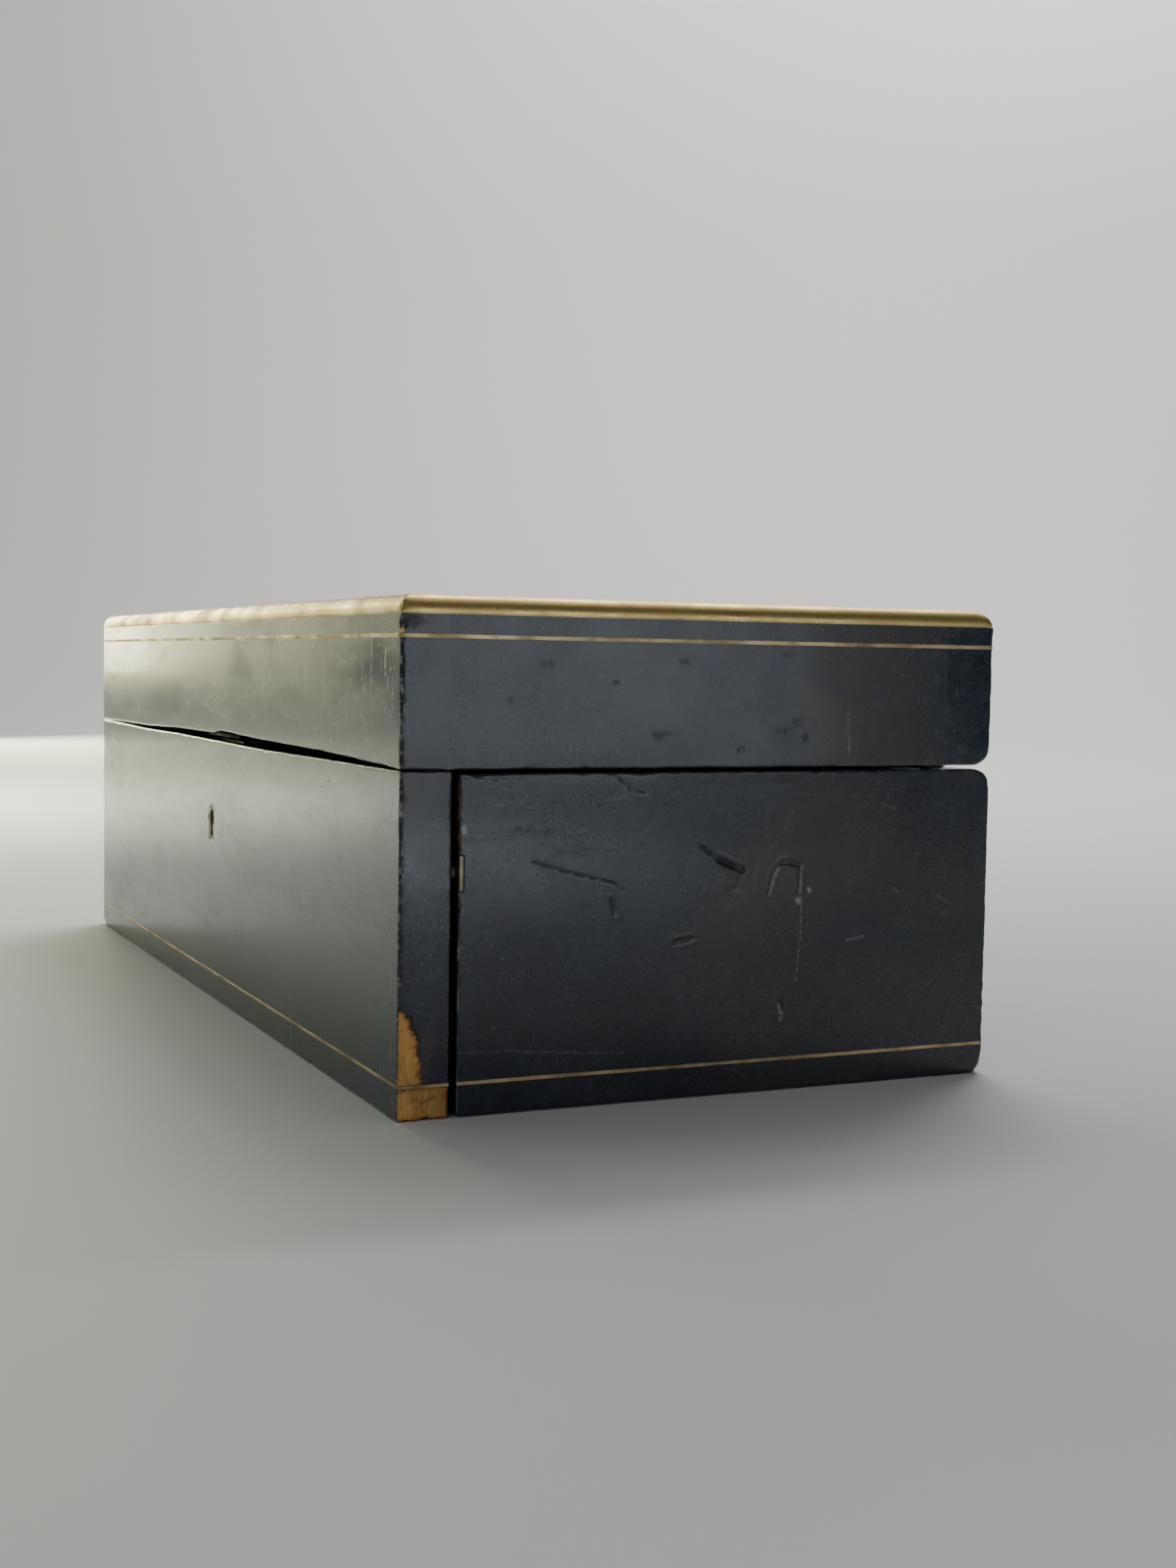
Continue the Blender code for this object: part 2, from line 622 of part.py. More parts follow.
def ratchet_outline():
    outline = []
    for tooth in range(RATCHET_TEETH):
        angle = 2 * math.pi * tooth / RATCHET_TEETH
        step = 2 * math.pi / RATCHET_TEETH
        for reach, turn in ((RATCHET_RADIUS - 1.4, 0.0), (RATCHET_RADIUS, 0.12 * step)):
            outline.append((BARREL_AXIS[0] + reach * math.cos(angle + turn),
                            BARREL_AXIS[1] + reach * math.sin(angle + turn)))
    return outline


def make_winding():
    origin = (114.0, *BARREL_AXIS)
    radius = WINDING_ARBOR
    arbor = turned([(52.5, radius - 0.4), (53.0, radius), (149.5, radius)], "x", BARREL_AXIS, 16)
    square = [(BARREL_AXIS[0] + y, BARREL_AXIS[1] + z)
              for y, z in ((-2.4, -2.4), (2.4, -2.4), (2.4, 2.4), (-2.4, 2.4))]
    tail = prism(square, "x", 149.0, 171.0)
    piece("winding_arbor", "steel", origin, [arbor, tail])

    cuts = [bar("x", BARREL_AXIS, radius + 0.3, 115.0, 125.0)]
    wheel = prism(ratchet_outline(), "x", 119.0, 122.0)
    piece("ratchet_wheel", "steel", origin, [wheel], cuts)

    socket = turned([(156.0, 4.6), (157.0, 5.2), (160.0, 5.2), (161.0, 4.7), (173.0, 4.7),
                     (176.5, 3.4), (178.0, 3.0)], "x", BARREL_AXIS, 20)
    wings = []
    for side in (-1, 1):
        centre = (180.2, BARREL_AXIS[0] + side * 8.2)
        wings.append(prism(circle(centre, 5.6, 20), "z", BARREL_AXIS[1] - 1.8, BARREL_AXIS[1] + 1.8))
    web = block((175.5, 184.0), (BARREL_AXIS[0] - 6.0, BARREL_AXIS[0] + 6.0),
                (BARREL_AXIS[1] - 2.1, BARREL_AXIS[1] + 2.1))
    hollow = [(BARREL_AXIS[0] + y, BARREL_AXIS[1] + z)
              for y, z in ((-2.75, -2.75), (2.75, -2.75), (2.75, 2.75), (-2.75, 2.75))]
    cuts = [prism(hollow, "x", 150.0, 172.0)]
    for side in (-1, 1):
        cuts.append(bar("z", (180.2, BARREL_AXIS[0] + side * 8.6), 2.2, 40.0, 56.0, 16))
    piece("winding_key", "brass", origin, [socket, web] + wings, cuts)

    pivot = (22.0, 58.5)
    tip = (27.0, 52.4)
    outline = circle(pivot, 2.8, 14, turn=math.atan2(tip[1] - pivot[1], tip[0] - pivot[0]) + 0.9)
    outline = outline[:11] + [tip]
    click = prism(outline, "x", 118.9, 121.9)
    pin = bar("x", pivot, 1.3, 116.8, 123.0, 12)
    piece("click", "steel", (119.0, *pivot), [click, pin])

    strip = [(46.0, 62.4), (34.0, 62.9), (25.6, 60.2), (25.9, 59.5), (34.2, 62.1), (46.0, 61.6)]
    foot = block((116.8, 122.4), (43.5, 48.5), (60.0, 64.5))
    piece("click_spring", "steel", (119.0, 46.0, 62.0), [foot, prism(strip, "x", 119.4, 121.4)])


def make_governor():
    base = BED_TOP + GAP
    foot = block((-164.0, -129.0), (24.0, 63.0), (base, 25.0))
    left = block((-163.5, -160.5), (26.0, 52.5), (base, 56.0))
    right = block((-132.5, -129.5), (26.0, 52.5), (base, 56.0))
    cuts = []
    for centre in (FIRST_AXIS, SECOND_AXIS):
        cuts.append(bar("x", centre, 1.5, -170.0, -120.0, 12))
    cuts.append(bar("z", (WORM_WHEEL_X, WORM_AXIS_Y), 1.1, 22.5, 30.0, 12))
    piece("governor_frame", "brass", (-150.0, 40.0, BED_TOP), [foot, left, right], cuts)

    cock = [
        block((-163.5, -129.5), (26.0, 34.0), (56.3, 59.6)),
        block((-154.0, -146.0), (26.0, 32.0), (59.0, 81.0)),
        block((-153.0, -147.0), (26.0, 60.0), (78.0, 81.0)),
    ]
    cuts = [bar("z", (WORM_WHEEL_X, WORM_AXIS_Y), 1.1, 77.0, 79.8, 12)]
    piece("governor_cock", "brass", (-150.0, 30.0, 56.0), cock, cuts)

    facing = direction(CYLINDER_AXIS, FIRST_AXIS)
    phase = meeting_phase(facing, FIRST_PINION_TEETH)
    pinion = gear_outline(FIRST_PINION_TEETH, GREAT_MODULE, FIRST_AXIS, phase)
    facing = direction(FIRST_AXIS, SECOND_AXIS)
    wheel = gear_outline(FIRST_WHEEL_TEETH, FIRST_MODULE, FIRST_AXIS, facing)
    solids = [
        bar("x", FIRST_AXIS, 1.1, -163.0, -115.0, 12),
        prism(pinion, "x", -122.0, -116.5),
        prism(wheel, "x", -139.0, -137.4),
    ]
    piece("governor_first_arbor", "brass", (-139.0, *FIRST_AXIS), solids)

    phase = meeting_phase(facing, SECOND_PINION_TEETH)
    pinion = gear_outline(SECOND_PINION_TEETH, FIRST_MODULE, SECOND_AXIS, phase)
    wheel = gear_outline(WORM_WHEEL_TEETH, WORM_MODULE, SECOND_AXIS, math.pi / WORM_WHEEL_TEETH)
    solids = [
        bar("x", SECOND_AXIS, 1.1, -163.0, -130.0, 12),
        prism(pinion, "x", -140.5, -136.0),
        prism(wheel, "x", WORM_WHEEL_X - 0.7, WORM_WHEEL_X + 0.7),
    ]
    piece("governor_second_arbor", "brass", (WORM_WHEEL_X, *SECOND_AXIS), solids)


def worm_ring(z, plain=None):
    """One level of the two-start screw; its threads face -Y at the height of the worm wheel."""
    lead = WORM_STARTS * math.pi * WORM_MODULE
    level = min(max(z, THREAD_Z[0]), THREAD_Z[1])
    turn = -math.pi / 2 + 2 * math.pi * (level - SECOND_AXIS[1]) / lead
    ring = []
    for start in range(WORM_STARTS):
        for degrees, crest in ((-28, 0), (-12, 1), (12, 1), (28, 0), (62, 0), (118, 0)):
            angle = turn + math.radians(degrees + 180 * start)
            radius = plain or (WORM_CREST if crest else WORM_CORE)
            ring.append((WORM_WHEEL_X + radius * math.cos(angle),
                         WORM_AXIS_Y + radius * math.sin(angle), z))
    return ring


def make_fly():
    pivot = 0.75
    rings = [worm_ring(23.2, pivot), worm_ring(26.0, pivot), worm_ring(26.6, WORM_CORE)]
    rings.append(worm_ring(THREAD_Z[0] - 0.6, WORM_CORE))
    steps = 44
    for index in range(steps + 1):
        rings.append(worm_ring(THREAD_Z[0] + (THREAD_Z[1] - THREAD_Z[0]) * index / steps))
    rings.append(worm_ring(THREAD_Z[1] + 0.6, WORM_CORE))
    rings.append(worm_ring(76.5, WORM_CORE))
    rings.append(worm_ring(77.0, pivot))
    rings.append(worm_ring(79.4, pivot))
    hub = bar("z", (WORM_WHEEL_X, WORM_AXIS_Y), 2.6, 64.0, 72.0, 16)
    arm = block((WORM_WHEEL_X - 14.0, WORM_WHEEL_X + 14.0), (WORM_AXIS_Y - 0.5, WORM_AXIS_Y + 0.5),
                (66.0, 70.0))
    solids = [stacked(rings), hub, arm]
    for side in (-1, 1):
        outer = WORM_WHEEL_X + side * 14.5
        inner = WORM_WHEEL_X + side * 5.0
        solids.append(block(sorted((inner, outer)), (WORM_AXIS_Y - 0.35, WORM_AXIS_Y + 0.35),
                            (62.0, 75.5)))
    piece("governor_fly", "steel", (WORM_WHEEL_X, WORM_AXIS_Y, 60.0), solids)


def make_comb():
    start, end = COMB_X
    support = [(-62.0, BED_TOP + GAP), (-34.0, BED_TOP + GAP), (-34.0, 24.0), (-40.0, 25.5),
               (-40.0, 45.6), (-58.0, 45.6), (-58.0, 25.5), (-62.0, 24.0)]
    piece("comb_base", "cast_brass", (0, -50.0, BED_TOP), [prism(support, "x", start - 1, end + 1)])
    pitch = (end - start) / COMB_TEETH
    outline = [(start, -57.0), (end, -57.0)]
    for tooth in reversed(range(COMB_TEETH)):
        middle = start + (tooth + 0.5) * pitch
        root = COMB_ROOT_Y - 8.0 * (1 - tooth / COMB_TEETH) + 6.0
        outline.append((middle + pitch * 0.36, root))
        outline.append((middle + pitch * 0.18, COMB_TIP_Y))
        outline.append((middle - pitch * 0.18, COMB_TIP_Y))
        outline.append((middle - pitch * 0.36, root))
    piece("comb", "steel", (0, -50.0, 46.0), [prism(outline, "z", 46.0, 48.4)])


def make_levers():
    for name, y in zip(("change_lever", "instant_stop_lever"), LEVERS_Y):
        handle = [(174.5, LEVER_Z[0] - 1.5), (180.5, LEVER_Z[0] - 1.5), (181.5, 40.0), (177.5, 40.0),
                  (174.5, 35.0)]
        solids = [
            block((124.0, 178.0), (y - 2.2, y + 2.2), LEVER_Z),
            bar("z", (LEVER_PIVOT_X, y), 4.0, LEVER_Z[0], LEVER_Z[1], 20),
            prism(handle, "y", y - 3.6, y + 3.6),
        ]
        cuts = [bar("z", (LEVER_PIVOT_X, y), 1.9, LEVER_Z[0] - 3, LEVER_Z[1] + 3, 12)]
        piece(name, "steel", (LEVER_PIVOT_X, y, LEVER_Z[0]), solids, cuts)
    solids = [
        block((-176.0, 176.0), ROD_Y, ROD_Z),
        block((-176.0, -172.0), (ROD_Y[0], 56.0), ROD_Z),
        block((-176.0, -172.0), (52.0, 56.0), (ROD_Z[0], 70.5)),
        block((-176.0, -171.0), (52.0, 56.0), (66.0, 70.5)),
        turned([(174.5, 2.4), (176.0, 4.4), (179.5, 4.4), (180.5, 3.0)], "x", (-69.0, 25.0), 20),
    ]
    piece("start_stop_rod", "steel", (0.0, -69.0, 25.0), solids)


def make_hinges():
    for side, frame in LID_HINGES.items():
        make_hinge(f"lid_hinge_{side}", frame, "base", "lid", LID_HINGE_HALF, 1.35, LID_HINGE_OFFSET)
    for side, frame in FLAP_HINGES.items():
        make_hinge(f"flap_hinge_{side}", frame, "base", "flap", FLAP_HINGE_HALF, 1.7, FLAP_HINGE_OFFSET)


clear_scene()
make_base()
make_flap()
make_lid()
make_mouldings()
make_lock()
make_hinges()
make_bed()
make_bearings()
make_cylinder()
make_snail()
make_barrel()
make_winding()
make_governor()
make_fly()
make_comb()
make_levers()
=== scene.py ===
"""Looks of a key-wind musical box: worn ebonised case, brass mouldings and a pinned-cylinder movement.

Lengths are millimetres in the same frame as the CAD, and become metres when a mesh is made.
"""

import math
import random

import bmesh
import bpy
import numpy as np
from mathutils import Matrix, Vector


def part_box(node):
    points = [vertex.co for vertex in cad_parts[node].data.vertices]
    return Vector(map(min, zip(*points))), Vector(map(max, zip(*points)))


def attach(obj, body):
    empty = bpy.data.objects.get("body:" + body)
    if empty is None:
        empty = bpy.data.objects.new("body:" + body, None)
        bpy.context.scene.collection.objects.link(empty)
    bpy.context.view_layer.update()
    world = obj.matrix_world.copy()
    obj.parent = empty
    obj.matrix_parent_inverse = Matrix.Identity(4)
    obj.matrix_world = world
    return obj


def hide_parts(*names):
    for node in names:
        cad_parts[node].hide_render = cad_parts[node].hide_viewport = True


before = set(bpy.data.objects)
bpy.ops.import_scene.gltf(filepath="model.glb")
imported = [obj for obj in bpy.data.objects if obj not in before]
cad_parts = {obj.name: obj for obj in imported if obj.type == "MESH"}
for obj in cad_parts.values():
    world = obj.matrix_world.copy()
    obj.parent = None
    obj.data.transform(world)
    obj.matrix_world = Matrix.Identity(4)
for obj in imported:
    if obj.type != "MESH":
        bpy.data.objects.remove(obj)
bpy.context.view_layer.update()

MM = 0.001


def node_box(name):
    """A CAD node's lowest and highest corners in millimetres."""
    low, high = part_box(name)
    return [value / MM for value in low], [value / MM for value in high]


# Materials


class Finish:
    """A node material with one Principled shader and short ways to add to it."""

    def __init__(self, name, **constants):
        self.material = bpy.data.materials.new(name)
        self.material.use_nodes = True
        self.tree = self.material.node_tree
        self.shader = self.tree.nodes["Principled BSDF"]
        for key, value in constants.items():
            self.shader.inputs[key.replace("_", " ")].default_value = value
        self.coordinates = self.tree.nodes.new("ShaderNodeTexCoord").outputs["Object"]
        self.heights = []

    def node(self, kind, values=(), **settings):
        """A shader node, its inputs given by name or number as values or as sockets to link."""
        made = self.tree.nodes.new("ShaderNode" + kind)
        for key, value in settings.items():
            setattr(made, key, value)
        for key, value in dict(values).items():
            if isinstance(value, bpy.types.NodeSocket):
                self.tree.links.new(value, made.inputs[key])
            else:
                made.inputs[key].default_value = value
        return made

    def set(self, name, source):
        self.tree.links.new(source, self.shader.inputs[name])

    def stretched(self, scale):
        """Object coordinates in units of the given millimetres."""
        factors = [1 / (length * MM) for length in scale]
        return self.node("Mapping", {"Vector": self.coordinates, "Scale": factors}).outputs[0]

    def noise(self, size, detail=4.0, roughness=0.55, distortion=0.0, seed=0.0):
        """Noise in 0..1 with features of about the given size, one number or three."""
        size = (size,) * 3 if isinstance(size, (int, float)) else size
        vector = self.stretched(size)
        if seed:
            vector = self.node("VectorMath", {0: vector, 1: (seed, seed * 1.7, seed * 0.6)}).outputs[0]
        values = {"Vector": vector, "Scale": 1.0, "Detail": detail, "Roughness": roughness,
                  "Distortion": distortion}
        return self.node("TexNoise", values).outputs["Fac"]

    def ramp(self, source, low, high, start=0.0, end=1.0):
        """Takes low..high of a source smoothly to start..end."""
        values = {"Value": source, "From Min": low, "From Max": high, "To Min": start, "To Max": end}
        return self.node("MapRange", values, interpolation_type="SMOOTHSTEP").outputs[0]

    def mix(self, factor, first, second):
        made = self.node("Mix", data_type="RGBA")
        for slot, value in ((0, factor), (6, first), (7, second)):
            if isinstance(value, bpy.types.NodeSocket):
                self.tree.links.new(value, made.inputs[slot])
            elif slot:
                made.inputs[slot].default_value = (*value, 1.0)
            else:
                made.inputs[slot].default_value = value
        return made.outputs[2]

    def tint(self, colour, source, low, high, amount, shade):
        """A colour taken towards a shade, by up to the amount as the source goes from low to high."""
        return self.mix(self.ramp(source, low, high, 0.0, amount), colour, shade)

    def blend(self, factor, first, second):
        values = {0: factor, 2: first, 3: second}
        return self.node("Mix", values, data_type="FLOAT").outputs[0]

    def maths(self, operation, first, second=0.0):
        return self.node("Math", {0: first, 1: second}, operation=operation).outputs[0]

    def attribute(self, name):
        return self.node("Attribute", attribute_name=name).outputs["Fac"]

    def bump(self, height, strength, distance):
        """Adds a bump whose full height is the given millimetres."""
        values = {"Height": height, "Strength": strength, "Distance": distance * MM}
        if self.heights:
            values["Normal"] = self.heights[-1]
        self.heights.append(self.node("Bump", values).outputs[0])
        self.set("Normal", self.heights[-1])


def wood_colour(finish, dark, light, along=0):
    """Straight-grained wood with pores; the grain runs along the given axis."""
    coarse = [9.0, 9.0, 9.0]
    coarse[along] = 160.0
    fine = [0.35, 0.35, 0.35]
    fine[along] = 14.0
    bands = finish.noise(coarse, 5.0, 0.6, 0.4)
    pores = finish.noise(fine, 3.0, 0.6)
    colour = finish.mix(finish.ramp(bands, 0.3, 0.7), dark, light)
    shade = [value * 0.55 for value in dark]
    return finish.tint(colour, pores, 0.55, 0.78, 0.6, shade), pores


WALNUT_TONES = ((0.085, 0.034, 0.014), (0.19, 0.085, 0.034))


def make_lacquer(name, haze, seed=0.0, relief=1.0, along=1.0, inner=None, grain=0):
    """Black French polish over wood: cloudy, scratched, rubbed through where the mesh says so.

    Haze is how much pale bloom lies on it and relief how uneven it is. Features are stretched
    along x by a factor. Within the inner half length and half depth the surface is bare walnut
    instead, with its grain along the given axis.
    """
    finish = Finish(name, IOR=1.5, Coat_Weight=0.25, Coat_Roughness=0.07)
    cloud = finish.noise(70.0, 3.0, 0.5, 0.6, seed + 1.3)
    brown = finish.attribute("brown")
    tone = finish.maths("ADD", finish.ramp(cloud, 0.42, 0.66, 0.0, 0.30), brown)
    colour = finish.mix(tone, (0.0042, 0.0080, 0.0185), (0.062, 0.042, 0.0290))
    dust = finish.noise((5.5 * along, 5.5, 5.5), 8.0, 0.72, 0.3, seed + 4.1)
    colour = finish.tint(colour, dust, 0.35, 0.75, haze, (0.028, 0.042, 0.066))
    specks = finish.noise(1.1, 2.0, 0.5, 0.0, seed + 9.0)
    colour = finish.tint(colour, specks, 0.74, 0.80, 0.35, (0.16, 0.16, 0.15))
    grit = finish.noise(0.55, 3.0, 0.7, 0.0, seed + 5.0)
    colour = finish.tint(colour, grit, 0.38, 0.66, 0.6 * haze, (0.048, 0.066, 0.088))
    stain = finish.attribute("stain")
    broken = finish.noise(1.6, 5.0, 0.7, 0.6, seed + 2.0)
    blot = finish.maths("MULTIPLY", stain, finish.ramp(broken, 0.36, 0.62))
    blot = finish.ramp(blot, 0.12, 0.75, 0.0, 0.8)
    colour = finish.mix(blot, colour, (0.0025, 0.003, 0.004))
    scuff = finish.attribute("scuff")
    rubbed = finish.maths("MULTIPLY", scuff, finish.ramp(specks, 0.25, 0.6, 0.35, 1.0))
    rubbed = finish.ramp(rubbed, 0.05, 0.9)
    colour = finish.mix(rubbed, colour, (0.36, 0.35, 0.32))

    bare = finish.ramp(finish.attribute("bare"), 0.42, 0.58)
    ground, pores = wood_colour(finish, (0.90, 0.42, 0.085), (1.0, 0.64, 0.20), 2)
    patch = finish.noise((2.6, 2.6, 7.0), 5.0, 0.7, 0.5, 2.0)
    ground = finish.tint(ground, patch, 0.54, 0.70, 0.55, (0.34, 0.11, 0.024))
    fibres = finish.noise((0.55, 0.55, 3.2), 4.0, 0.7, 0.3, 8.0)
    ground = finish.tint(ground, fibres, 0.46, 0.66, 0.5, (0.40, 0.15, 0.034))
    ground = finish.mix(finish.attribute("grime"), ground, (0.085, 0.030, 0.016))
    colour = finish.mix(bare, colour, ground)
    if inner:
        axes = finish.node("SeparateXYZ", {0: finish.coordinates}).outputs
        reach = [finish.maths("ABSOLUTE", axes[axis]) for axis in (0, 1)]
        within = [finish.maths("LESS_THAN", far, half * MM) for far, half in zip(reach, inner)]
        inside = finish.maths("MULTIPLY", *within)
        walnut, open_pores = wood_colour(finish, *WALNUT_TONES, grain)
        colour = finish.mix(inside, colour, walnut)
    finish.set("Base Color", colour)

    gloss = finish.noise((26.0 * along, 26.0, 26.0), 7.0, 0.72, 0.0, seed + 6.0)
    rough = finish.ramp(gloss, 0.3, 0.7, 0.14, 0.28)
    rough = finish.maths("ADD", rough, finish.ramp(grit, 0.3, 0.7, -0.03, 0.05))
    rough = finish.blend(rubbed, rough, 0.5)
    rough = finish.blend(blot, rough, 0.75)
    rough = finish.blend(finish.ramp(dust, 0.45, 0.8, 0.0, 0.35), rough, 0.42)
    rough = finish.blend(bare, rough, 0.62)
    if inner:
        rough = finish.blend(inside, rough, 0.55)
        finish.bump(finish.maths("MULTIPLY", open_pores, inside), 0.4, 0.08)
    finish.set("Roughness", rough)

    finish.bump(finish.noise((30.0, 1.4, 1.4), 3.0, 0.5, 0.0, seed), 0.12 * relief, 0.03)
    finish.bump(finish.noise(9.0, 2.0, 0.5), 0.10 * relief, 0.05)
    finish.bump(grit, 0.34 * relief, 0.025)
    finish.bump(finish.maths("MULTIPLY", pores, bare), 0.7, 0.12)
    return finish.material


def make_wood(name, dark, light, along, roughness=0.5):
    finish = Finish(name, IOR=1.45)
    colour, pores = wood_colour(finish, dark, light, along)
    dirt = finish.noise(30.0, 5.0, 0.6, 0.5)
    colour = finish.tint(colour, dirt, 0.5, 0.8, 0.5, [value * 0.45 for value in dark])
    finish.set("Base Color", colour)
    finish.set("Roughness", finish.ramp(pores, 0.3, 0.8, roughness, roughness + 0.25))
    finish.bump(pores, 0.35, 0.08)
    return finish.material


def make_metal(name, bright, dull, roughness, streak=(1.2, 1.2, 1.2), tarnish=0.5, spot=4.0, bump=0.06):
    """Metal with tarnish clouds, small dark spots and fine drawn or ground lines."""
    finish = Finish(name, Metallic=1.0)
    cloud = finish.noise(spot * 3.0, 6.0, 0.65, 0.4)
    colour = finish.tint(bright, cloud, 0.36, 0.70, tarnish, dull)
    spots = finish.noise(spot * 0.3, 3.0, 0.6, 0.0, 3.0)
    colour = finish.tint(colour, spots, 0.66, 0.80, 0.7, [value * 0.35 for value in dull])
    finish.set("Base Color", colour)
    lines = finish.noise(streak, 2.0, 0.5, 0.0, 7.0)
    rough = finish.ramp(cloud, 0.3, 0.7, roughness * 0.75, roughness * 1.35)
    rough = finish.maths("ADD", rough, finish.ramp(lines, 0.3, 0.7, -0.04, 0.06))
    finish.set("Roughness", rough)
    finish.bump(lines, 0.3, bump)
    finish.bump(spots, 0.15, 0.05)
    return finish.material


def make_card(name):
    finish = Finish(name, Roughness=0.85)
    fibre = finish.noise((0.8, 0.25, 0.8), 4.0, 0.6)
    age = finish.noise(28.0, 5.0, 0.6, 0.4)
    colour = finish.tint((0.62, 0.52, 0.34), age, 0.4, 0.75, 0.8, (0.34, 0.22, 0.10))
    finish.set("Base Color", finish.tint(colour, fibre, 0.3, 0.8, 0.25, (0.7, 0.62, 0.45)))
    finish.bump(fibre, 0.3, 0.04)
    return finish.material


def make_floor_finish():
    finish = Finish("pale_floor", Roughness=0.75)
    finish.shader.inputs["Specular IOR Level"].default_value = 0.2
    tone = finish.noise(900.0, 2.0)
    finish.set("Base Color", finish.mix(tone, (0.80, 0.80, 0.79), (0.84, 0.84, 0.83)))
    return finish.material


LACQUER_BASE = make_lacquer("lacquer_base", 0.20)
LACQUER_LID = make_lacquer("lacquer_lid", 0.78, 11.0)
LACQUER_FRONT = make_lacquer("lacquer_front", 0.40, 23.0, relief=0.40, along=3.0)
WALNUT_X = make_wood("walnut_along", *WALNUT_TONES, 0)
WALNUT_Y = make_wood("walnut_across", *WALNUT_TONES, 1)
DEAL = make_wood("deal_floor", (0.17, 0.085, 0.035), (0.33, 0.19, 0.085), 0, 0.6)
MOULDING = make_metal("moulding_brass", (0.80, 0.60, 0.24), (0.50, 0.35, 0.13), 0.34,
                      (60.0, 0.5, 0.5), 0.7, 7.0, 0.03)
STRINGING = make_metal("stringing_brass", (0.58, 0.45, 0.25), (0.25, 0.18, 0.09), 0.42,
                       (8.0, 0.4, 0.4), 0.85, 4.0, 0.02)
BRASS = make_metal("movement_brass", (0.70, 0.50, 0.20), (0.42, 0.27, 0.09), 0.26,
                   (1.5, 0.3, 0.3), 0.6, 6.0)
CAST_BRASS = make_metal("cast_brass", (0.58, 0.42, 0.18), (0.30, 0.20, 0.08), 0.42,
                        (0.6, 2.5, 2.5), 0.7, 8.0)
CYLINDER_BRASS = make_metal("cylinder_brass", (0.66, 0.47, 0.19), (0.42, 0.26, 0.09), 0.3,
                            (0.35, 6.0, 6.0), 0.5, 9.0)
CATCH_BRASS = make_metal("aged_brass", (0.50, 0.41, 0.30), (0.19, 0.14, 0.10), 0.4,
                         (2.0, 0.5, 0.5), 0.8, 2.5)
STEEL = make_metal("ground_steel", (0.50, 0.50, 0.51), (0.24, 0.23, 0.22), 0.28, (0.5, 4.0, 0.5), 0.5, 6.0)
BLUED = make_metal("blued_steel", (0.035, 0.06, 0.16), (0.07, 0.05, 0.07), 0.26, (1.5, 0.4, 0.4), 0.6, 4.0)
IRON = make_metal("dark_iron", (0.030, 0.026, 0.024), (0.016, 0.013, 0.012), 0.6, (1.5, 1.5, 0.5), 0.8, 3.0)
LEAD = make_metal("lead", (0.22, 0.22, 0.23), (0.11, 0.11, 0.11), 0.6, (1.0, 1.0, 1.0), 0.6, 3.0)
CARD = make_card("old_card")

# Meshes


def linked(name, data):
    """A new object in the scene that shows the given data."""
    item = bpy.data.objects.new(name, data)
    bpy.context.collection.objects.link(item)
    return item


def finished(name, data, materials, body, smooth):
    """An object for a mesh, shaded smooth below an angle in degrees; it rides on a body if given."""
    item = linked(name, data)
    for material in materials:
        data.materials.append(material)
    data.shade_smooth()
    data.set_sharp_from_angle(angle=math.radians(smooth))
    if body:
        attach(item, body)
    return item


def new_object(name, points, faces, materials, body, smooth):
    """An object from millimetre points and faces."""
    data = bpy.data.meshes.new(name)
    scaled = np.asarray(points, float) * MM
    if isinstance(faces, np.ndarray):
        faces = faces.tolist()
    data.from_pydata(scaled.tolist(), [], faces)
    return finished(name, data, materials, body, smooth)


def from_bmesh(name, mesh, materials, body, smooth=35.0):
    """An object from a bmesh in millimetres, which is used up."""
    data = bpy.data.meshes.new(name)
    bmesh.ops.recalc_face_normals(mesh, faces=mesh.faces)
    bmesh.ops.scale(mesh, vec=(MM, MM, MM), verts=mesh.verts)
    mesh.to_mesh(data)
    mesh.free()
    return finished(name, data, materials, body, smooth)


def tube_faces(rings, sides, closed=False):
    """Quads between rings of points that follow one another, and a cap at each end if it is open."""
    faces = []
    for ring in range(rings if closed else rings - 1):
        here, there = ring * sides, (ring + 1) % rings * sides
        for side in range(sides):
            after = (side + 1) % sides
            faces.append((here + side, there + side, there + after, here + after))
    if not closed:
        last = (rings - 1) * sides
        faces.append(tuple(range(sides)))
        faces.append(tuple(last + side for side in reversed(range(sides))))
    return faces


def bell(values, centre, width):
    """1 where values are at the centre, fading out over the width on both sides."""
    return np.exp(-((values - centre) / width) ** 2)


def rising(values, start, span):
    """0 up to the start, 1 from a span further on, straight between; the span may be negative."""
    return np.clip((values - start) / span, 0, 1)


def waves(points, length, seed, count=9):
    """A smooth random field of about unit size over points, with the given wavelength in mm."""
    dice = np.random.default_rng(seed)
    total = np.zeros(len(points))
    for _ in range(count):
        way = dice.normal(size=3)
        way *= 2 * math.pi / (length * dice.uniform(0.6, 1.6)) / np.linalg.norm(way)
        total += np.sin(points @ way + dice.uniform(0, 2 * math.pi))
    return total / math.sqrt(count / 2)


NEAR_EDGE = (0.0, 0.14, 0.32, 0.55, 0.85, 1.25, 1.8, 2.6, 3.6)


def graded(low, high, step):
    """Grid lines over a length: close together at both ends and a step apart between.

    A step may be (step, where it changes, step beyond that).
    """
    first = low + NEAR_EDGE[-1]
    last = high - NEAR_EDGE[-1]
    spans = [(first, last, step)]
    if isinstance(step, tuple):
        spans = [(first, step[1], step[0]), (step[1], last, step[2])]
    middle = np.unique(np.concatenate([
        np.linspace(start, end, max(2, int(round((end - start) / gap)) + 1)) for start, end, gap in spans]))
    ends = np.array(NEAR_EDGE[:-1])
    return np.concatenate([low + ends, middle, (high - ends)[::-1]])


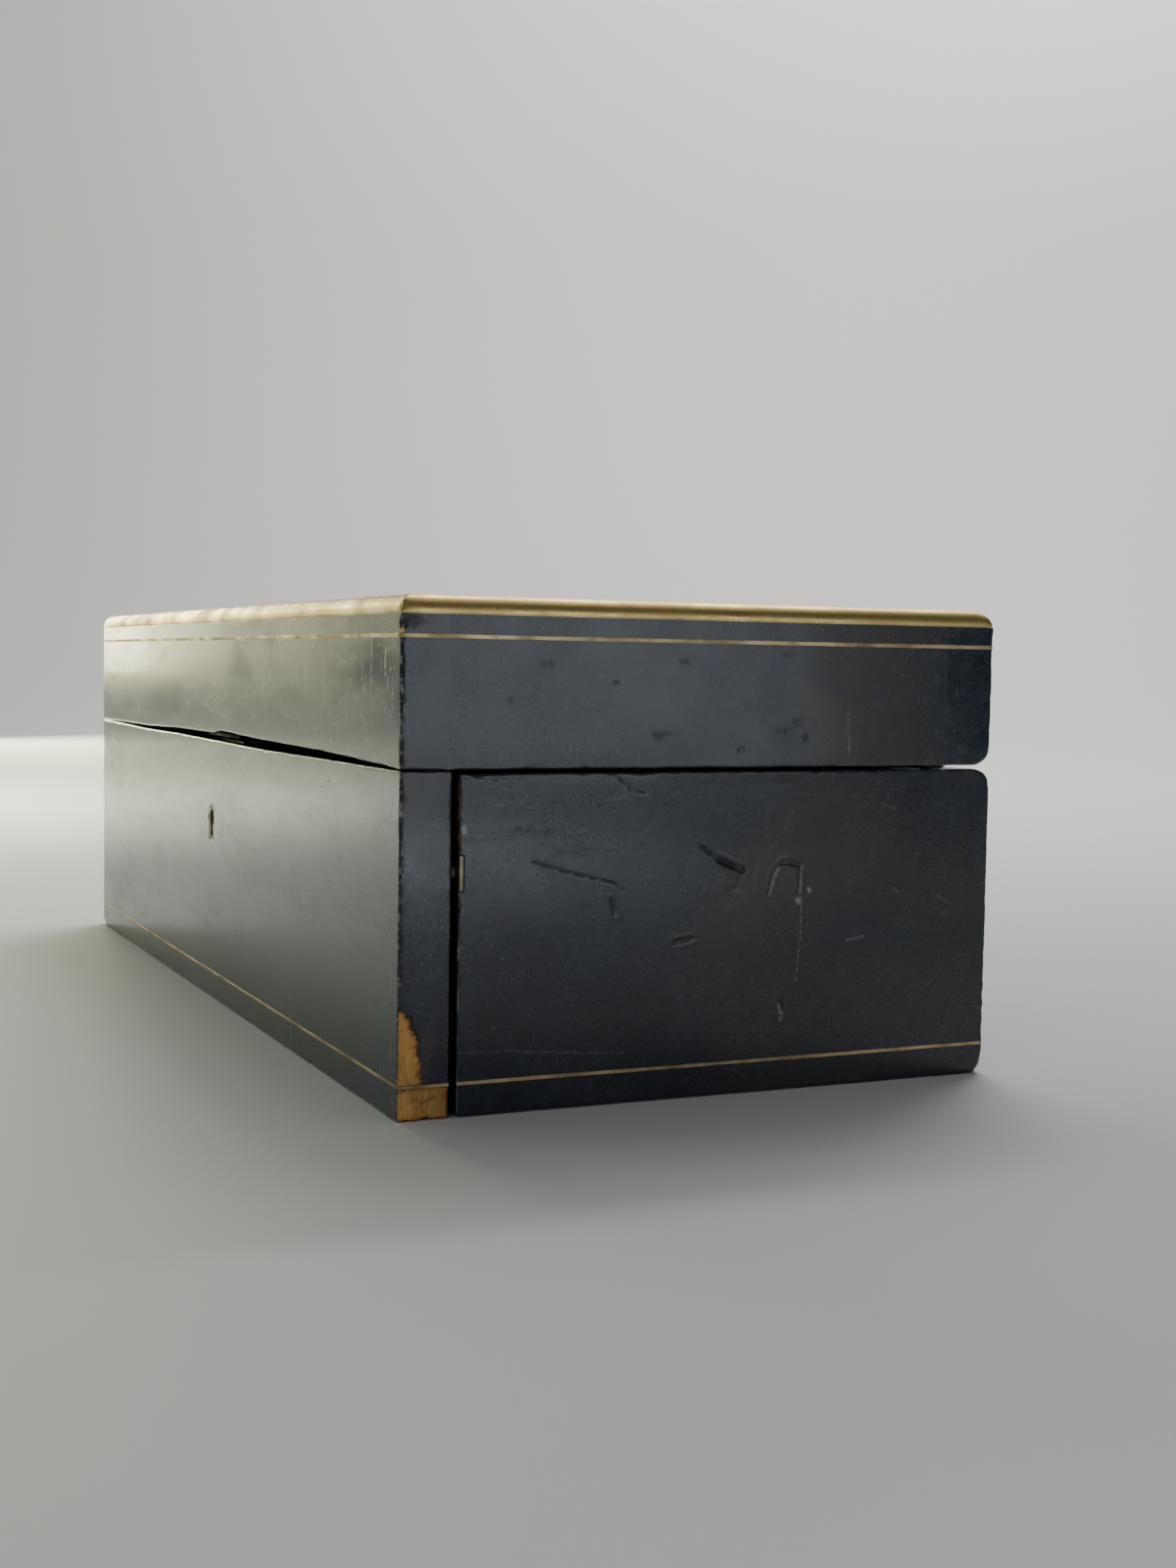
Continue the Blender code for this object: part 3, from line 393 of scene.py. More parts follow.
def box_grid(lines):
    """The welded surface grid of a box, with each face's outward axis and side."""
    points, faces, sides = [], [], []
    count = 0
    for axis in range(3):
        first, second = [other for other in range(3) if other != axis]
        for side in (0, -1):
            rows, columns = np.meshgrid(lines[first], lines[second], indexing="ij")
            block = np.empty((*rows.shape, 3))
            block[..., first] = rows
            block[..., second] = columns
            block[..., axis] = lines[axis][side]
            index = count + np.arange(rows.size).reshape(rows.shape)
            quads = [index[:-1, :-1], index[1:, :-1], index[1:, 1:], index[:-1, 1:]]
            if (side == 0) != (axis == 1):
                quads.reverse()
            faces.append(np.stack(quads, axis=-1).reshape(-1, 4))
            sides.append(np.full(len(faces[-1]), axis * 2 + (side == -1)))
            points.append(block.reshape(-1, 3))
            count += rows.size
    points = np.concatenate(points)
    _, keep, back = np.unique(np.round(points, 4), axis=0, return_index=True, return_inverse=True)
    return points[keep], back.reshape(-1)[np.concatenate(faces)], np.concatenate(sides)


def rounded(points, low, high, radius):
    """Moves a box's surface points onto edges rounded by a radius that may vary."""
    radius = np.maximum(radius, LEAST_ROUND)[:, None]
    core = np.clip(points, np.asarray(low) + radius, np.asarray(high) - radius)
    away = points - core
    length = np.linalg.norm(away, axis=1, keepdims=True)
    return core + away / np.maximum(length, 1e-9) * radius


def stroke(flat, path, reach=5.0):
    """Distance of flat (2-D) points from a polyline, where that is within reach."""
    best = np.full(len(flat), 1e9)
    low, high = np.min(path, axis=0) - reach, np.max(path, axis=0) + reach
    near = np.flatnonzero((flat[:, 0] > low[0]) & (flat[:, 0] < high[0])
                          & (flat[:, 1] > low[1]) & (flat[:, 1] < high[1]))
    chosen = flat[near]
    for start, end in zip(path, path[1:]):
        start, end = np.asarray(start, float), np.asarray(end, float)
        way = end - start
        along = np.clip(((chosen - start) @ way) / max(way @ way, 1e-9), 0, 1)
        gap = np.sqrt(np.sum((chosen - start - along[:, None] * way) ** 2, axis=1))
        best[near] = np.minimum(best[near], gap)
    return best


def groove(flat, path, width):
    """How much each flat point lies on a polyline: 1 on it, fading out over the width."""
    return bell(stroke(flat, path), 0, width)


def drawn_marks(flat, marks):
    """The strongest of several lines, each given as (path, width, value)."""
    total = np.zeros(len(flat))
    for path, width, value in marks:
        total = np.maximum(total, value * groove(flat, path, width))
    return total


def scratched(values, flat, dice, count, area, turns, lengths, strengths, width):
    """Values with straight scratches added at random places and angles within an area."""
    for _ in range(count):
        x, y = dice.uniform(*area[0]), dice.uniform(*area[1])
        turn, length = dice.uniform(*turns), dice.uniform(*lengths)
        tip = (x + length * math.cos(turn), y + length * math.sin(turn))
        values = np.maximum(values, dice.uniform(*strengths) * groove(flat, [(x, y), tip], width))
    return values


SCRATCH_WIDTH = 0.42


def nicked(values, flat, dice, count, low, high):
    """Values with tiny pale nicks added, most of them towards a front board's right-hand end."""
    for _ in range(count):
        centre = (high[0] - 2 - 130 * dice.random() ** 1.7, dice.uniform(low[2] + 2, high[2] - 2))
        tip = (centre[0] + dice.uniform(0, 1.2), centre[1] + dice.uniform(-0.6, 0.6))
        nick = groove(flat, [centre, tip], SCRATCH_WIDTH)
        values = np.maximum(values, dice.uniform(0.2, 0.75) * nick)
    return values


def spot(flat, centre, size):
    """A soft round spot with value 1 in its middle."""
    gap = (flat - np.asarray(centre)) / np.asarray(size)
    return np.exp(-np.sum(gap * gap, axis=1))


LEFT, RIGHT, FRONT, BACK, BOTTOM, TOP = range(6)
LEAST_ROUND, MOST_ROUND = 0.03, 3.0
JOINT_REACH = 2.5
SOFT_SPREAD = 8.0


def edge(low, high, side, other):
    """The two ends of the edge where two sides of a box meet."""
    start, end = list(low), list(high)
    for axis, upper in (divmod(side, 2), divmod(other, 2)):
        start[axis] = end[axis] = (high if upper else low)[axis]
    return start, end


class Board:
    """A board with worn, chipped edges, whose faces can be dented, stained and rubbed.

    Sides are numbered axis * 2 + (0 low or 1 high), which is what LEFT to TOP hold. Each chip
    is (start, end, how many, deepest, paleness); tight sides meet another board and are not
    worn; grow holds (side, length); soft holds (side, other side, extra radius) of an edge.
    """

    def __init__(self, name, node, body, steps, radius=0.55, seed=1, chips=(), tight=(), grow=(), soft=()):
        self.name, self.node, self.body = name, node, body
        self.low, self.high = node_box(node)
        for side, length in grow:
            axis, upper = divmod(side, 2)
            (self.high if upper else self.low)[axis] += length if upper else -length
        lines = [graded(self.low[axis], self.high[axis], steps[axis]) for axis in range(3)]
        self.rest, self.faces, self.sides = box_grid(lines)
        reach = radius * (1 + 0.18 * waves(self.rest, 11.0, seed) + 0.12 * waves(self.rest, 3.0, seed + 1))
        self.marks = {key: np.zeros(len(self.rest)) for key in ("bare", "scuff", "stain", "brown", "grime")}
        dice = random.Random(seed)
        for start, end, count, deepest, light in chips:
            for _ in range(count):
                along = dice.random()
                centre = np.array([a + (b - a) * along for a, b in zip(start, end)])
                size = dice.uniform(0.35, 1.5)
                depth = deepest * dice.random() ** 2
                near = np.flatnonzero(np.all(np.abs(self.rest - centre) < 4 * size, axis=1))
                gap = np.sum((self.rest[near] - centre) ** 2, axis=1)
                fall = np.exp(-gap / (2 * size * size))
                reach[near] += depth * fall
                pale = fall ** 4 * light * dice.random() ** 2
                self.marks["scuff"][near] = np.maximum(self.marks["scuff"][near], pale)
        for side, other, extra in soft:
            gaps = [self.distance(each) for each in (side, other)]
            reach = reach + extra * np.exp(-(gaps[0] ** 2 + gaps[1] ** 2) / SOFT_SPREAD)
        for side in tight:
            share = np.minimum(self.distance(side) / JOINT_REACH, 1)
            reach = np.where(share < 1, LEAST_ROUND + (reach - LEAST_ROUND) * share ** 2, reach)
        self.points = rounded(self.rest, self.low, self.high, np.minimum(reach, MOST_ROUND))

    def distance(self, side):
        """How far each point lies from the plane of one side."""
        axis, upper = divmod(side, 2)
        return np.abs(self.rest[:, axis] - (self.high if upper else self.low)[axis])

    def face(self, side):
        """Which points lie on one side."""
        chosen = np.zeros(len(self.rest), bool)
        chosen[self.faces[self.sides == side].ravel()] = True
        return chosen

    def sink(self, side, depth):
        axis, high = divmod(side, 2)
        self.points[:, axis] += (-depth if high else depth) * self.face(side)

    def mark(self, key, values):
        self.marks[key] = np.clip(np.maximum(self.marks[key], values), 0, 1)

    def build(self, outside, inside, inner_sides=(), cutters=()):
        """Makes the object: inner sides get the inside material, and the cutters are taken away."""
        item = new_object(self.name, self.points, self.faces, [outside, inside], self.body, 40.0)
        slots = np.isin(self.sides, list(inner_sides)).astype(np.int32)
        item.data.polygons.foreach_set("material_index", slots)
        for key, values in self.marks.items():
            layer = item.data.attributes.new(key, "FLOAT", "POINT")
            layer.data.foreach_set("value", values.astype(np.float32))
        for cutter in cutters:
            step = item.modifiers.new("cut", "BOOLEAN")
            step.operation = "DIFFERENCE"
            step.solver = "MANIFOLD"
            step.object = cutter
        if cutters:
            graph = bpy.context.evaluated_depsgraph_get()
            data = bpy.data.meshes.new_from_object(item.evaluated_get(graph))
            item.modifiers.clear()
            item.data = data
            for cutter in cutters:
                bpy.data.objects.remove(cutter)
        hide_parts(self.node)


def lifted(pair, axis, at):
    """A 3-D point from a flat pair and its place along the axis that the pair leaves out."""
    point = list(pair)
    point.insert(axis, at)
    return point


def join(mesh, lower, upper):
    """Adds the quads between two closed rings of bmesh vertices."""
    for index in range(len(lower)):
        after = (index + 1) % len(lower)
        mesh.faces.new((lower[index], lower[after], upper[after], upper[index]))


def add_prism(mesh, outline, axis, start, end):
    """Adds a solid with a flat outline, extruded along an axis, to a bmesh."""
    rings = [[mesh.verts.new(lifted(pair, axis, at)) for pair in outline] for at in (start, end)]
    join(mesh, *rings)
    mesh.faces.new(rings[0])
    mesh.faces.new(rings[1])


def box_outline(low, high):
    return [(low[0], low[1]), (high[0], low[1]), (high[0], high[1]), (low[0], high[1])]


def circle(centre, radius, sides, turn=0.0):
    steps = [turn + 2 * math.pi * index / sides for index in range(sides)]
    return [(centre[0] + radius * math.cos(a), centre[1] + radius * math.sin(a)) for a in steps]


def cutter(outline, axis, start, end):
    """A prism for a board to be cut with."""
    mesh = bmesh.new()
    add_prism(mesh, outline, axis, start, end)
    return from_bmesh("cutter", mesh, [LACQUER_BASE], None)


# Case boards that the eye is on


LOW, HIGH = [list(corner) for corner in node_box("base_front_board")]
END_X = HIGH[0]
FRONT_Y = LOW[1]
SEAM_Z = HIGH[2]
BACK_Y = node_box("base_back_board")[1][1]
KEYHOLE_X = sum(corner[0] for corner in node_box("keyhole_escutcheon")) / 2
KEYHOLE_Z = 62.7
FIT = 0.3
LID_GROW = 0.28
BASE_LINE_Z = 8.95
LID_LINE_Z = 124.3
INNER_BASE = (186.15, 76.2)


def near_corner_band(rest, corner_x, corner_y):
    """The dark band down the near upright edge, on the end face's side of it."""
    across = bell(rest[:, 1], corner_y + 0.55, 0.55 + 0.2 * waves(rest, 5.0, 77))
    return across * bell(rest[:, 0], corner_x, 0.5) * 1.6


def corner_flecks(rest, corner_x, corner_y, seed):
    """Pale broken flecks on the front's side of the near upright edge."""
    band = bell(rest[:, 0], corner_x - 0.45, 0.45) * (rest[:, 1] < corner_y + 0.5)
    wander = waves(rest * (0.2, 0.2, 1.0), 1.6, seed) + 0.6 * waves(rest * (0.2, 0.2, 1.0), 7.0, seed + 1)
    return band * np.clip(wander - 0.75, 0, 1) * 1.1


def keyhole_slot(half, deep):
    """The straight lower part of a keyhole's outline."""
    return box_outline((KEYHOLE_X - half, KEYHOLE_Z - deep), (KEYHOLE_X + half, KEYHOLE_Z))


def make_front_board():
    low, high = LOW, HIGH
    chips = [
        (*edge(low, high, RIGHT, FRONT), 60, 0.38, 1.0),
        (*edge(low, high, FRONT, TOP), 60, 0.5, 0.6),
        (*edge(low, high, FRONT, BOTTOM), 60, 0.9, 0.3),
        (*edge(low, high, RIGHT, BOTTOM), 8, 1.4, 0.2),
        (low, (low[0] + 2, low[1], low[2] + 1), 5, 3.0, 0.0),
    ]
    steps = ((2.0, 70.0, 0.55), 0.45, 0.55)
    board = Board("front_board", "base_front_board", "case", steps, 0.55, 3, chips)
    rest = board.rest
    end = rest[:, 1:]
    ragged = 0.35 * waves(rest, 2.4, 5) + 0.25 * waves(rest, 0.9, 6)
    rim = np.interp(end[:, 1], [9.0, 10.5, 14.5, 18.5, 22.0, 25.5, 28.0, 29.3],
                    [6.6, 6.5, 6.3, 5.8, 5.0, 3.6, 2.1, -1.0])
    from_corner = end[:, 0] - low[1]
    crescent = rim + ragged - from_corner
    foot = 8.3 + 0.5 * ragged - end[:, 1]
    missing = np.maximum(np.minimum(crescent, end[:, 1] - 9.5), foot)
    missing = np.minimum(missing, 14.6 - from_corner + ragged)
    bare = np.clip(0.5 + missing / 0.5, 0, 1)
    face = board.face(RIGHT)
    board.mark("bare", np.where(face, bare, 0))
    board.sink(RIGHT, 0.75 * np.clip(0.5 + missing / 0.35, 0, 1) * (1 + 0.1 * ragged))
    grime = spot(end, (low[1] + 8.5, 5.5), (9.0, 6.0)) * (0.44 + 0.12 * waves(rest, 2.2, 9))
    grime = np.maximum(grime, spot(end, (high[1] - 2, 5), (3.0, 6.0)) * 0.5)
    grime = np.maximum(grime, 0.95 * np.clip(1.2 - np.abs(crescent) / 0.8, 0, 1) * (end[:, 1] > 9.6))
    board.mark("grime", np.where(face, grime - 1.2 * spot(end, (low[1] + 1.6, 2.0), (2.0, 3.4)), 0))
    board.mark("brown", np.where(face, spot(end, (low[1] + 7.6, 15.0), (2.0, 6.5)) * 0.9, 0))
    board.mark("stain", near_corner_band(rest, high[0], low[1]))
    board.mark("scuff", corner_flecks(rest, high[0], low[1], 301))
    flat = rest[:, ::2]
    dice = random.Random(8)
    marks = np.zeros(len(rest))
    for _ in range(46):
        x = high[0] - 5 - 120 * dice.random() ** 1.8
        z = dice.uniform(low[2] + 12, high[2] - 3)
        length = dice.uniform(2, 16)
        tip = (x + dice.uniform(-1, 1), z - length)
        scratch = groove(flat, [(x, z), tip], SCRATCH_WIDTH)
        marks = np.maximum(marks, dice.uniform(0.25, 0.6) * scratch)
    marks = nicked(marks, flat, dice, 150, low, high)
    board.mark("scuff", np.where(board.face(FRONT), marks, 0))
    dip = np.interp(rest[:, 0], [-200, -150, -109, -56, -3, 10, 63, 133, 170, 200],
                    [0.0, 0.1, 0.5, 0.25, 0.45, 0.5, 0.8, 0.35, 0.15, 0.0])
    board.points[:, 2] -= dip * rising(board.points[:, 2], low[2], high[2] - low[2]) ** 6
    arris = bell(rest[:, 1], low[1], 0.7) * bell(rest[:, 2], high[2], 0.7)
    worn = rising(rest[:, 0], 40, 40) * (0.55 + 0.3 * waves(rest, 9.0, 61))
    board.mark("scuff", arris * np.clip(worn, 0, 1))
    shapes = [
        cutter(circle((KEYHOLE_X, KEYHOLE_Z), 4.25, 28), 1, low[1] - 2, low[1] + 2.3),
        cutter(keyhole_slot(2.75, 7.8), 1, low[1] - 2, low[1] + 2.35),
        cutter(circle((KEYHOLE_X, KEYHOLE_Z), 2.8, 24), 1, low[1] - 3, high[1] + 3),
        cutter(keyhole_slot(1.3, 6.3), 1, low[1] - 3.1, high[1] + 3.1),
    ]
    lock_low, lock_high = node_box("lock_body")
    seat = box_outline((lock_low[0] - FIT, lock_low[2] - FIT), (lock_high[0] + FIT, high[2] + 3))
    shapes.append(cutter(seat, 1, lock_low[1] - FIT, high[1] + 3.2))
    board.build(LACQUER_FRONT, WALNUT_X, (BACK,), shapes)


def make_flap():
    node = "end_flap"
    low, high = node_box(node)
    chips = [
        (*edge(low, high, RIGHT, FRONT), 40, 0.6, 0.3),
        (*edge(low, high, RIGHT, TOP), 60, 0.4, 0.12),
        (*edge(low, high, RIGHT, BACK), 30, 0.8, 0.12),
        (*edge(low, high, RIGHT, BOTTOM), 50, 0.8, 0.08),
        ((high[0], high[1], low[2]), (high[0], high[1], low[2] + 2), 3, 3.0, 0.1),
    ]
    soft = ((BACK, TOP, 1.1), (BACK, BOTTOM, 1.0))
    board = Board("flap_board", node, "flap", (0.9, 0.5, 0.5), 0.5, 17, chips, soft=soft)
    flat = board.rest[:, 1:]
    face = board.face(RIGHT)
    # Each dent is (path over y and z, width, depth).
    dents = [
        ([(-4.1, 69.3), (2.1, 64.9), (6.0, 63.0)], 0.42, 0.22),
        ([(2.0, 65.0), (6.0, 63.2), (9.4, 61.9)], 0.7, 0.34),
        ([(9.4, 61.9), (7.8, 59.5), (7.2, 57.6)], 0.45, 0.26),
        ([(4.6, 57.2), (8.2, 56.6)], 0.45, 0.22),
        ([(17.3, 55.2), (18.6, 60.5), (21.1, 63.6)], 0.4, 0.16),
        ([(21.1, 63.4), (24.0, 63.9), (27.4, 62.6)], 0.55, 0.26),
        ([(27.2, 61.5), (27.0, 55.5)], 0.4, 0.16),
        ([(21.4, 24.6), (22.3, 22.7), (21.6, 20.5)], 0.6, 0.3),
        ([(-53.3, 65.9), (-44.0, 63.0), (-34.6, 60.7), (-29.5, 59.4)], 0.32, 0.12),
        ([(-31.6, 60.0), (-27.0, 57.4)], 0.35, 0.09),
        ([(-11.5, 43.0), (-6.5, 43.6)], 0.6, 0.25),
        ([(-30.5, 55.2), (-29.4, 51.5)], 0.6, 0.2),
        ([(42.0, 41.6), (48.0, 42.6)], 0.5, 0.16),
        ([(-29.7, 88.2), (-28.0, 86.2), (-25.0, 84.2), (-21.0, 83.6)], 0.35, 0.14),
        ([(-31.0, 82.6), (-24.0, 82.3)], 0.3, 0.1),
    ]
    depth = np.zeros(len(flat))
    for path, width, deep in dents:
        near = stroke(flat, path)
        depth += deep * (bell(near, 0, width) - 0.25 * bell(near, 1.9 * width, width))
    dice = random.Random(21)
    cracks = np.zeros(len(flat))
    for _ in range(34):
        y = dice.uniform(-73.0, -36.0)
        z = dice.choice((dice.uniform(80, 89), dice.uniform(66, 89)))
        length = dice.uniform(4, 20)
        path = [(y + length * t / 4, z - 0.05 * length * t / 4 + dice.uniform(-0.5, 0.5)) for t in range(5)]
        cracks = np.maximum(cracks, groove(flat, path, 0.32) * dice.uniform(0.3, 1.0))
    depth += 0.05 * cracks + 0.05 * waves(board.rest, 60.0, 31)
    fade = rising(flat[:, 1], high[2], -3) * rising(flat[:, 1], low[2], 3)
    fade *= rising(flat[:, 0], high[1], -3) * rising(flat[:, 0], low[1], 3)
    board.sink(RIGHT, np.maximum(depth, -0.03) * fade)
    light = drawn_marks(flat, (
        ([(27.7, 54.0), (27.9, 44.0), (26.6, 30.7)], 0.45, 0.42),
        ([(26.5, 53.3), (26.9, 52.6)], 0.7, 1.0), ([(30.2, 56.2), (30.6, 55.4)], 0.6, 0.9),
        ([(21.2, 24.2), (22.2, 21.6)], 0.45, 0.8),
        ([(17.6, 55.0), (20.9, 63.2)], 0.4, 0.4), ([(23.4, 62.4), (27.0, 55.6)], 0.4, 0.3),
        ([(4.8, 57.6), (5.4, 59.8)], 0.35, 0.3), ([(9.9, 61.0), (10.1, 58.6)], 0.35, 0.25),
        ([(-72.7, 75.6), (-72.5, 74.0)], 0.5, 1.0),
        ([(-33.9, 60.2), (-26.3, 58.1)], 0.4, 0.3), ([(58.0, 55.0), (63.0, 53.4)], 0.5, 0.35),
        ([(73.0, 53.0), (77.5, 50.2)], 0.45, 0.4), ([(66.0, 24.0), (73.0, 29.0)], 0.4, 0.25),
        ([(-74.5, 16.9), (-60.0, 16.6), (-48.0, 15.4), (-26.0, 13.8)], 0.4, 0.36),
        ([(40.0, 12.5), (62.0, 11.6)], 0.4, 0.2),
    ))
    area = ((low[1] + 4, high[1] - 4), (low[2] + 4, high[2] - 4))
    light = scratched(light, flat, dice, 46, area, (-0.6, 0.9), (0.5, 5.0), (0.1, 0.4), 0.36)
    arris = bell(flat[:, 0], low[1] + 0.1, 0.35) * bell(board.rest[:, 0], high[0], 0.6)
    light = np.maximum(light, arris * np.clip(0.32 + 0.28 * waves(board.rest, 5.0, 44), 0, 0.8))
    board.mark("scuff", np.where(board.rest[:, 0] > high[0] - 1.0, light, 0))
    dark = drawn_marks(flat, (
        ([(-53.3, 65.9), (-44.0, 63.0), (-34.6, 60.7), (-29.5, 59.4)], 0.45, 1.2),
        ([(-3.8, 69.1), (2.1, 64.9), (9.4, 61.7)], 0.5, 1.2), ([(8.6, 60.0), (7.4, 57.6)], 0.5, 1.2),
        ([(21.4, 63.3), (27.2, 62.6)], 0.5, 1.2), ([(-11.5, 43.0), (-6.5, 43.6)], 0.4, 1.2),
        ([(-30.3, 55.2), (-29.4, 51.5)], 0.35, 1.2),
        ([(-29.7, 88.2), (-25.0, 84.2), (-21.5, 83.7)], 0.5, 1.2),
    ))
    board.mark("stain", np.where(face, np.maximum(dark, 0.8 * cracks), 0))
    rim = bell(flat[:, 0], low[1], 0.9) * (0.55 + 0.25 * waves(board.rest, 7.0, 40))
    upper = rising(flat[:, 1], 62, 8)
    board.mark("bare", np.where(board.rest[:, 0] > high[0] - 1.6, rim * 0.66 * upper, 0))
    board.mark("grime", np.where(flat[:, 0] < low[1] + 3, 0.9, 0))
    brown = 0.5 * spot(flat, (38, 72), (26, 20)) + 0.3 * spot(flat, (12, 50), (20, 18)) - 0.15
    board.mark("brown", np.where(face, brown, 0))
    bevel_back(board, 2.2, top=True)
    thinned = rising(board.points[:, 1], high[1] - 9.0, 9.0) * 3.0
    board.points[:, 0] += thinned * (high[0] - board.points[:, 0]) / (high[0] - low[0])
    catch_low, catch_high = node_box("flap_catch")
    seat = box_outline((catch_low[0] - FIT, catch_low[2] - FIT), (high[0] + 2, catch_high[2] + FIT))
    shapes = [cutter(seat, 1, low[1] - 2, low[1] + 1.45)]
    for name in ("lower", "upper"):
        leaf_low, leaf_high = node_box(f"flap_hinge_{name}_flap_leaf")
        seat = box_outline((leaf_low[1] - FIT, leaf_low[2] - FIT), (leaf_high[1] + 3, leaf_high[2] + FIT))
        shapes.append(cutter(seat, 0, low[0] - 3, leaf_high[0] + 0.25))
    board.build(LACQUER_BASE, WALNUT_Y, (LEFT,), shapes)


NOTCH_DEPTH = 6.0


def bevel_back(board, tall, top):
    """Slopes a board's top or bottom edge so that the seam opens into the notch at the back."""
    amount = rising(board.points[:, 1], BACK_Y - NOTCH_DEPTH, NOTCH_DEPTH) ** 2 * tall
    span = board.high[2] - board.low[2]
    if top:
        board.points[:, 2] -= amount * (board.points[:, 2] - board.low[2]) / span
    else:
        board.points[:, 2] += amount * (board.high[2] - board.points[:, 2]) / span


def make_lid_front():
    node = "lid_front_rail"
    low, high = node_box(node)
    chips = [
        (*edge(low, high, RIGHT, FRONT), 45, 0.38, 1.0),
        (*edge(low, high, FRONT, BOTTOM), 50, 0.4, 0.2),
        ((high[0] - 1, low[1], high[2]), (high[0], low[1] + 1, high[2] - 3), 6, 2.0, 0.1),
    ]
    steps = ((2.0, 60.0, 0.5), 0.9, 0.5)
    board = Board("lid_front", node, "lid", steps, 0.55, 43, chips, (BACK, TOP), ((TOP, LID_GROW),))
    lift = np.interp(board.rest[:, 0], [-200, -105, -55, -4, 2, 12, 60, 130, 185, 200],
                     [0.0, 0.3, 1.35, 1.65, 1.8, 2.85, 2.0, 1.6, 0.5, 0.0])
    board.points[:, 2] += lift * rising(board.points[:, 2], high[2], low[2] - high[2]) ** 6
    flat = board.rest[:, ::2]
    dice = random.Random(5)
    marks = np.zeros(len(flat))
    for _ in range(60):
        x = high[0] - 6 - 130 * dice.random() ** 1.6
        z = dice.uniform(low[2] + 5, high[2] - 4)
        tip = (x + dice.uniform(-0.8, 0.8), z - dice.uniform(0.6, 14))
        scratch = groove(flat, [(x, z), tip], SCRATCH_WIDTH)
        marks = np.maximum(marks, dice.uniform(0.25, 0.65) * scratch)
    marks = nicked(marks, flat, dice, 110, low, high)
    board.mark("scuff", np.where(board.face(FRONT), marks, 0))
    end = board.rest[:, 1:]
    chip = spot(end, (low[1] + 2.2, high[2] - 1.5), (4.0, 2.2))
    board.mark("stain", np.where(board.face(RIGHT), chip * 1.4, 0))
    board.mark("stain", near_corner_band(board.rest, high[0], low[1]))
    board.mark("scuff", corner_flecks(board.rest, high[0], low[1], 311))
    board.mark("bare", spot(board.rest, (high[0], low[1], high[2] - 4.2), (1.3, 1.3, 1.1)) * 0.75)
    link_low, link_high = node_box("lid_link_plate")
    seat = cutter(box_outline((link_low[0] - FIT, low[2] - 2), (link_high[0] + FIT, link_high[2] + 0.2)),
                  1, link_low[1] - FIT, high[1] + 2)
    board.build(LACQUER_FRONT, WALNUT_X, (BACK,), [seat])


def make_lid_right():
    node = "lid_right_rail"
    low, high = node_box(node)
    chips = [(*edge(low, high, RIGHT, BOTTOM), 60, 0.3, 0.08)]
    board = Board("lid_end", node, "lid", (1.0, 0.6, 0.5), 0.35, 57, chips, (FRONT, BACK, TOP),
                  ((FRONT, 0.3), (BACK, 0.2), (TOP, LID_GROW)))
    flat = board.rest[:, 1:]
    face = board.face(RIGHT)
    stain = np.zeros(len(flat))
    for centre, size in (
        ((-16.5, 99.1), (3.6, 1.7)), ((20.8, 99.6), (3.0, 2.8)), ((25.5, 102.5), (3.2, 1.8)),
        ((-10.2, 118.8), (1.6, 1.3)), ((22.1, 121.2), (2.2, 1.2)), ((-79.1, 115.1), (2.0, 1.6)),
        ((-82.0, 113.0), (1.6, 1.2)), ((8.0, 95.0), (2.0, 1.2)), ((-50.0, 117.5), (2.4, 1.4)),
        ((28.0, 98.0), (1.5, 2.0)), ((-30.0, 113.0), (1.6, 1.0)), ((-60.0, 108.0), (1.4, 1.0)),
    ):
        stain = np.maximum(stain, spot(flat, centre, size))
    board.mark("stain", np.where(face, stain, 0))
    light = drawn_marks(flat, (
        ([(41.8, 105.6), (42.1, 93.9)], 0.4, 0.45), ([(41.0, 101.0), (41.2, 95.0)], 0.4, 0.25),
        ([(12.0, 97.0), (13.0, 92.0)], 0.4, 0.25), ([(5.0, 110.0), (18.0, 112.0)], 0.4, 0.15),
        ([(-62.0, 103.0), (-55.0, 106.0)], 0.4, 0.2),
    ))
    area = ((low[1], high[1]), (low[2] + 2, high[2] - 2))
    light = scratched(light, flat, random.Random(71), 60, area, (-1.6, 1.6), (0.3, 4.0), (0.08, 0.3), 0.35)
    board.mark("scuff", np.where(face, light, 0))
    board.mark("brown", np.where(face, spot(flat, (47, 108), (23, 40)) * 1.0, 0))
    board.sink(RIGHT, np.maximum(0.04 * waves(board.rest, 50.0, 12), 0) * face)
    board.build(LACQUER_LID, WALNUT_Y, (LEFT,))


def make_lid_back():
    node = "lid_back_rail"
    low, high = node_box(node)
    board = Board("lid_back", node, "lid", (2.5, 0.7, 0.7), 0.6, 83, (), (FRONT, TOP),
                  ((FRONT, 0.1), (TOP, LID_GROW)), ((BACK, BOTTOM, 1.1),))
    bevel_back(board, 2.3, top=False)
    shapes = []
    for name in ("left", "right"):
        leaf_low, leaf_high = node_box(f"lid_hinge_{name}_lid_leaf")
        seat = box_outline((leaf_low[0] - FIT, leaf_low[1] - FIT), (leaf_high[0] + FIT, high[1] + 3))
        shapes.append(cutter(seat, 2, low[2] - 3, leaf_high[2] + 0.35))
    board.build(LACQUER_LID, WALNUT_X, (FRONT,), shapes)


def make_lid_left():
    board = Board("lid_left", "lid_left_rail", "lid", (1.5, 1.5, 0.8), 0.4, 87, (), (FRONT, BACK, TOP),
                  ((FRONT, 0.3), (BACK, 0.3), (TOP, LID_GROW)))
    board.build(LACQUER_LID, WALNUT_Y, (RIGHT,))


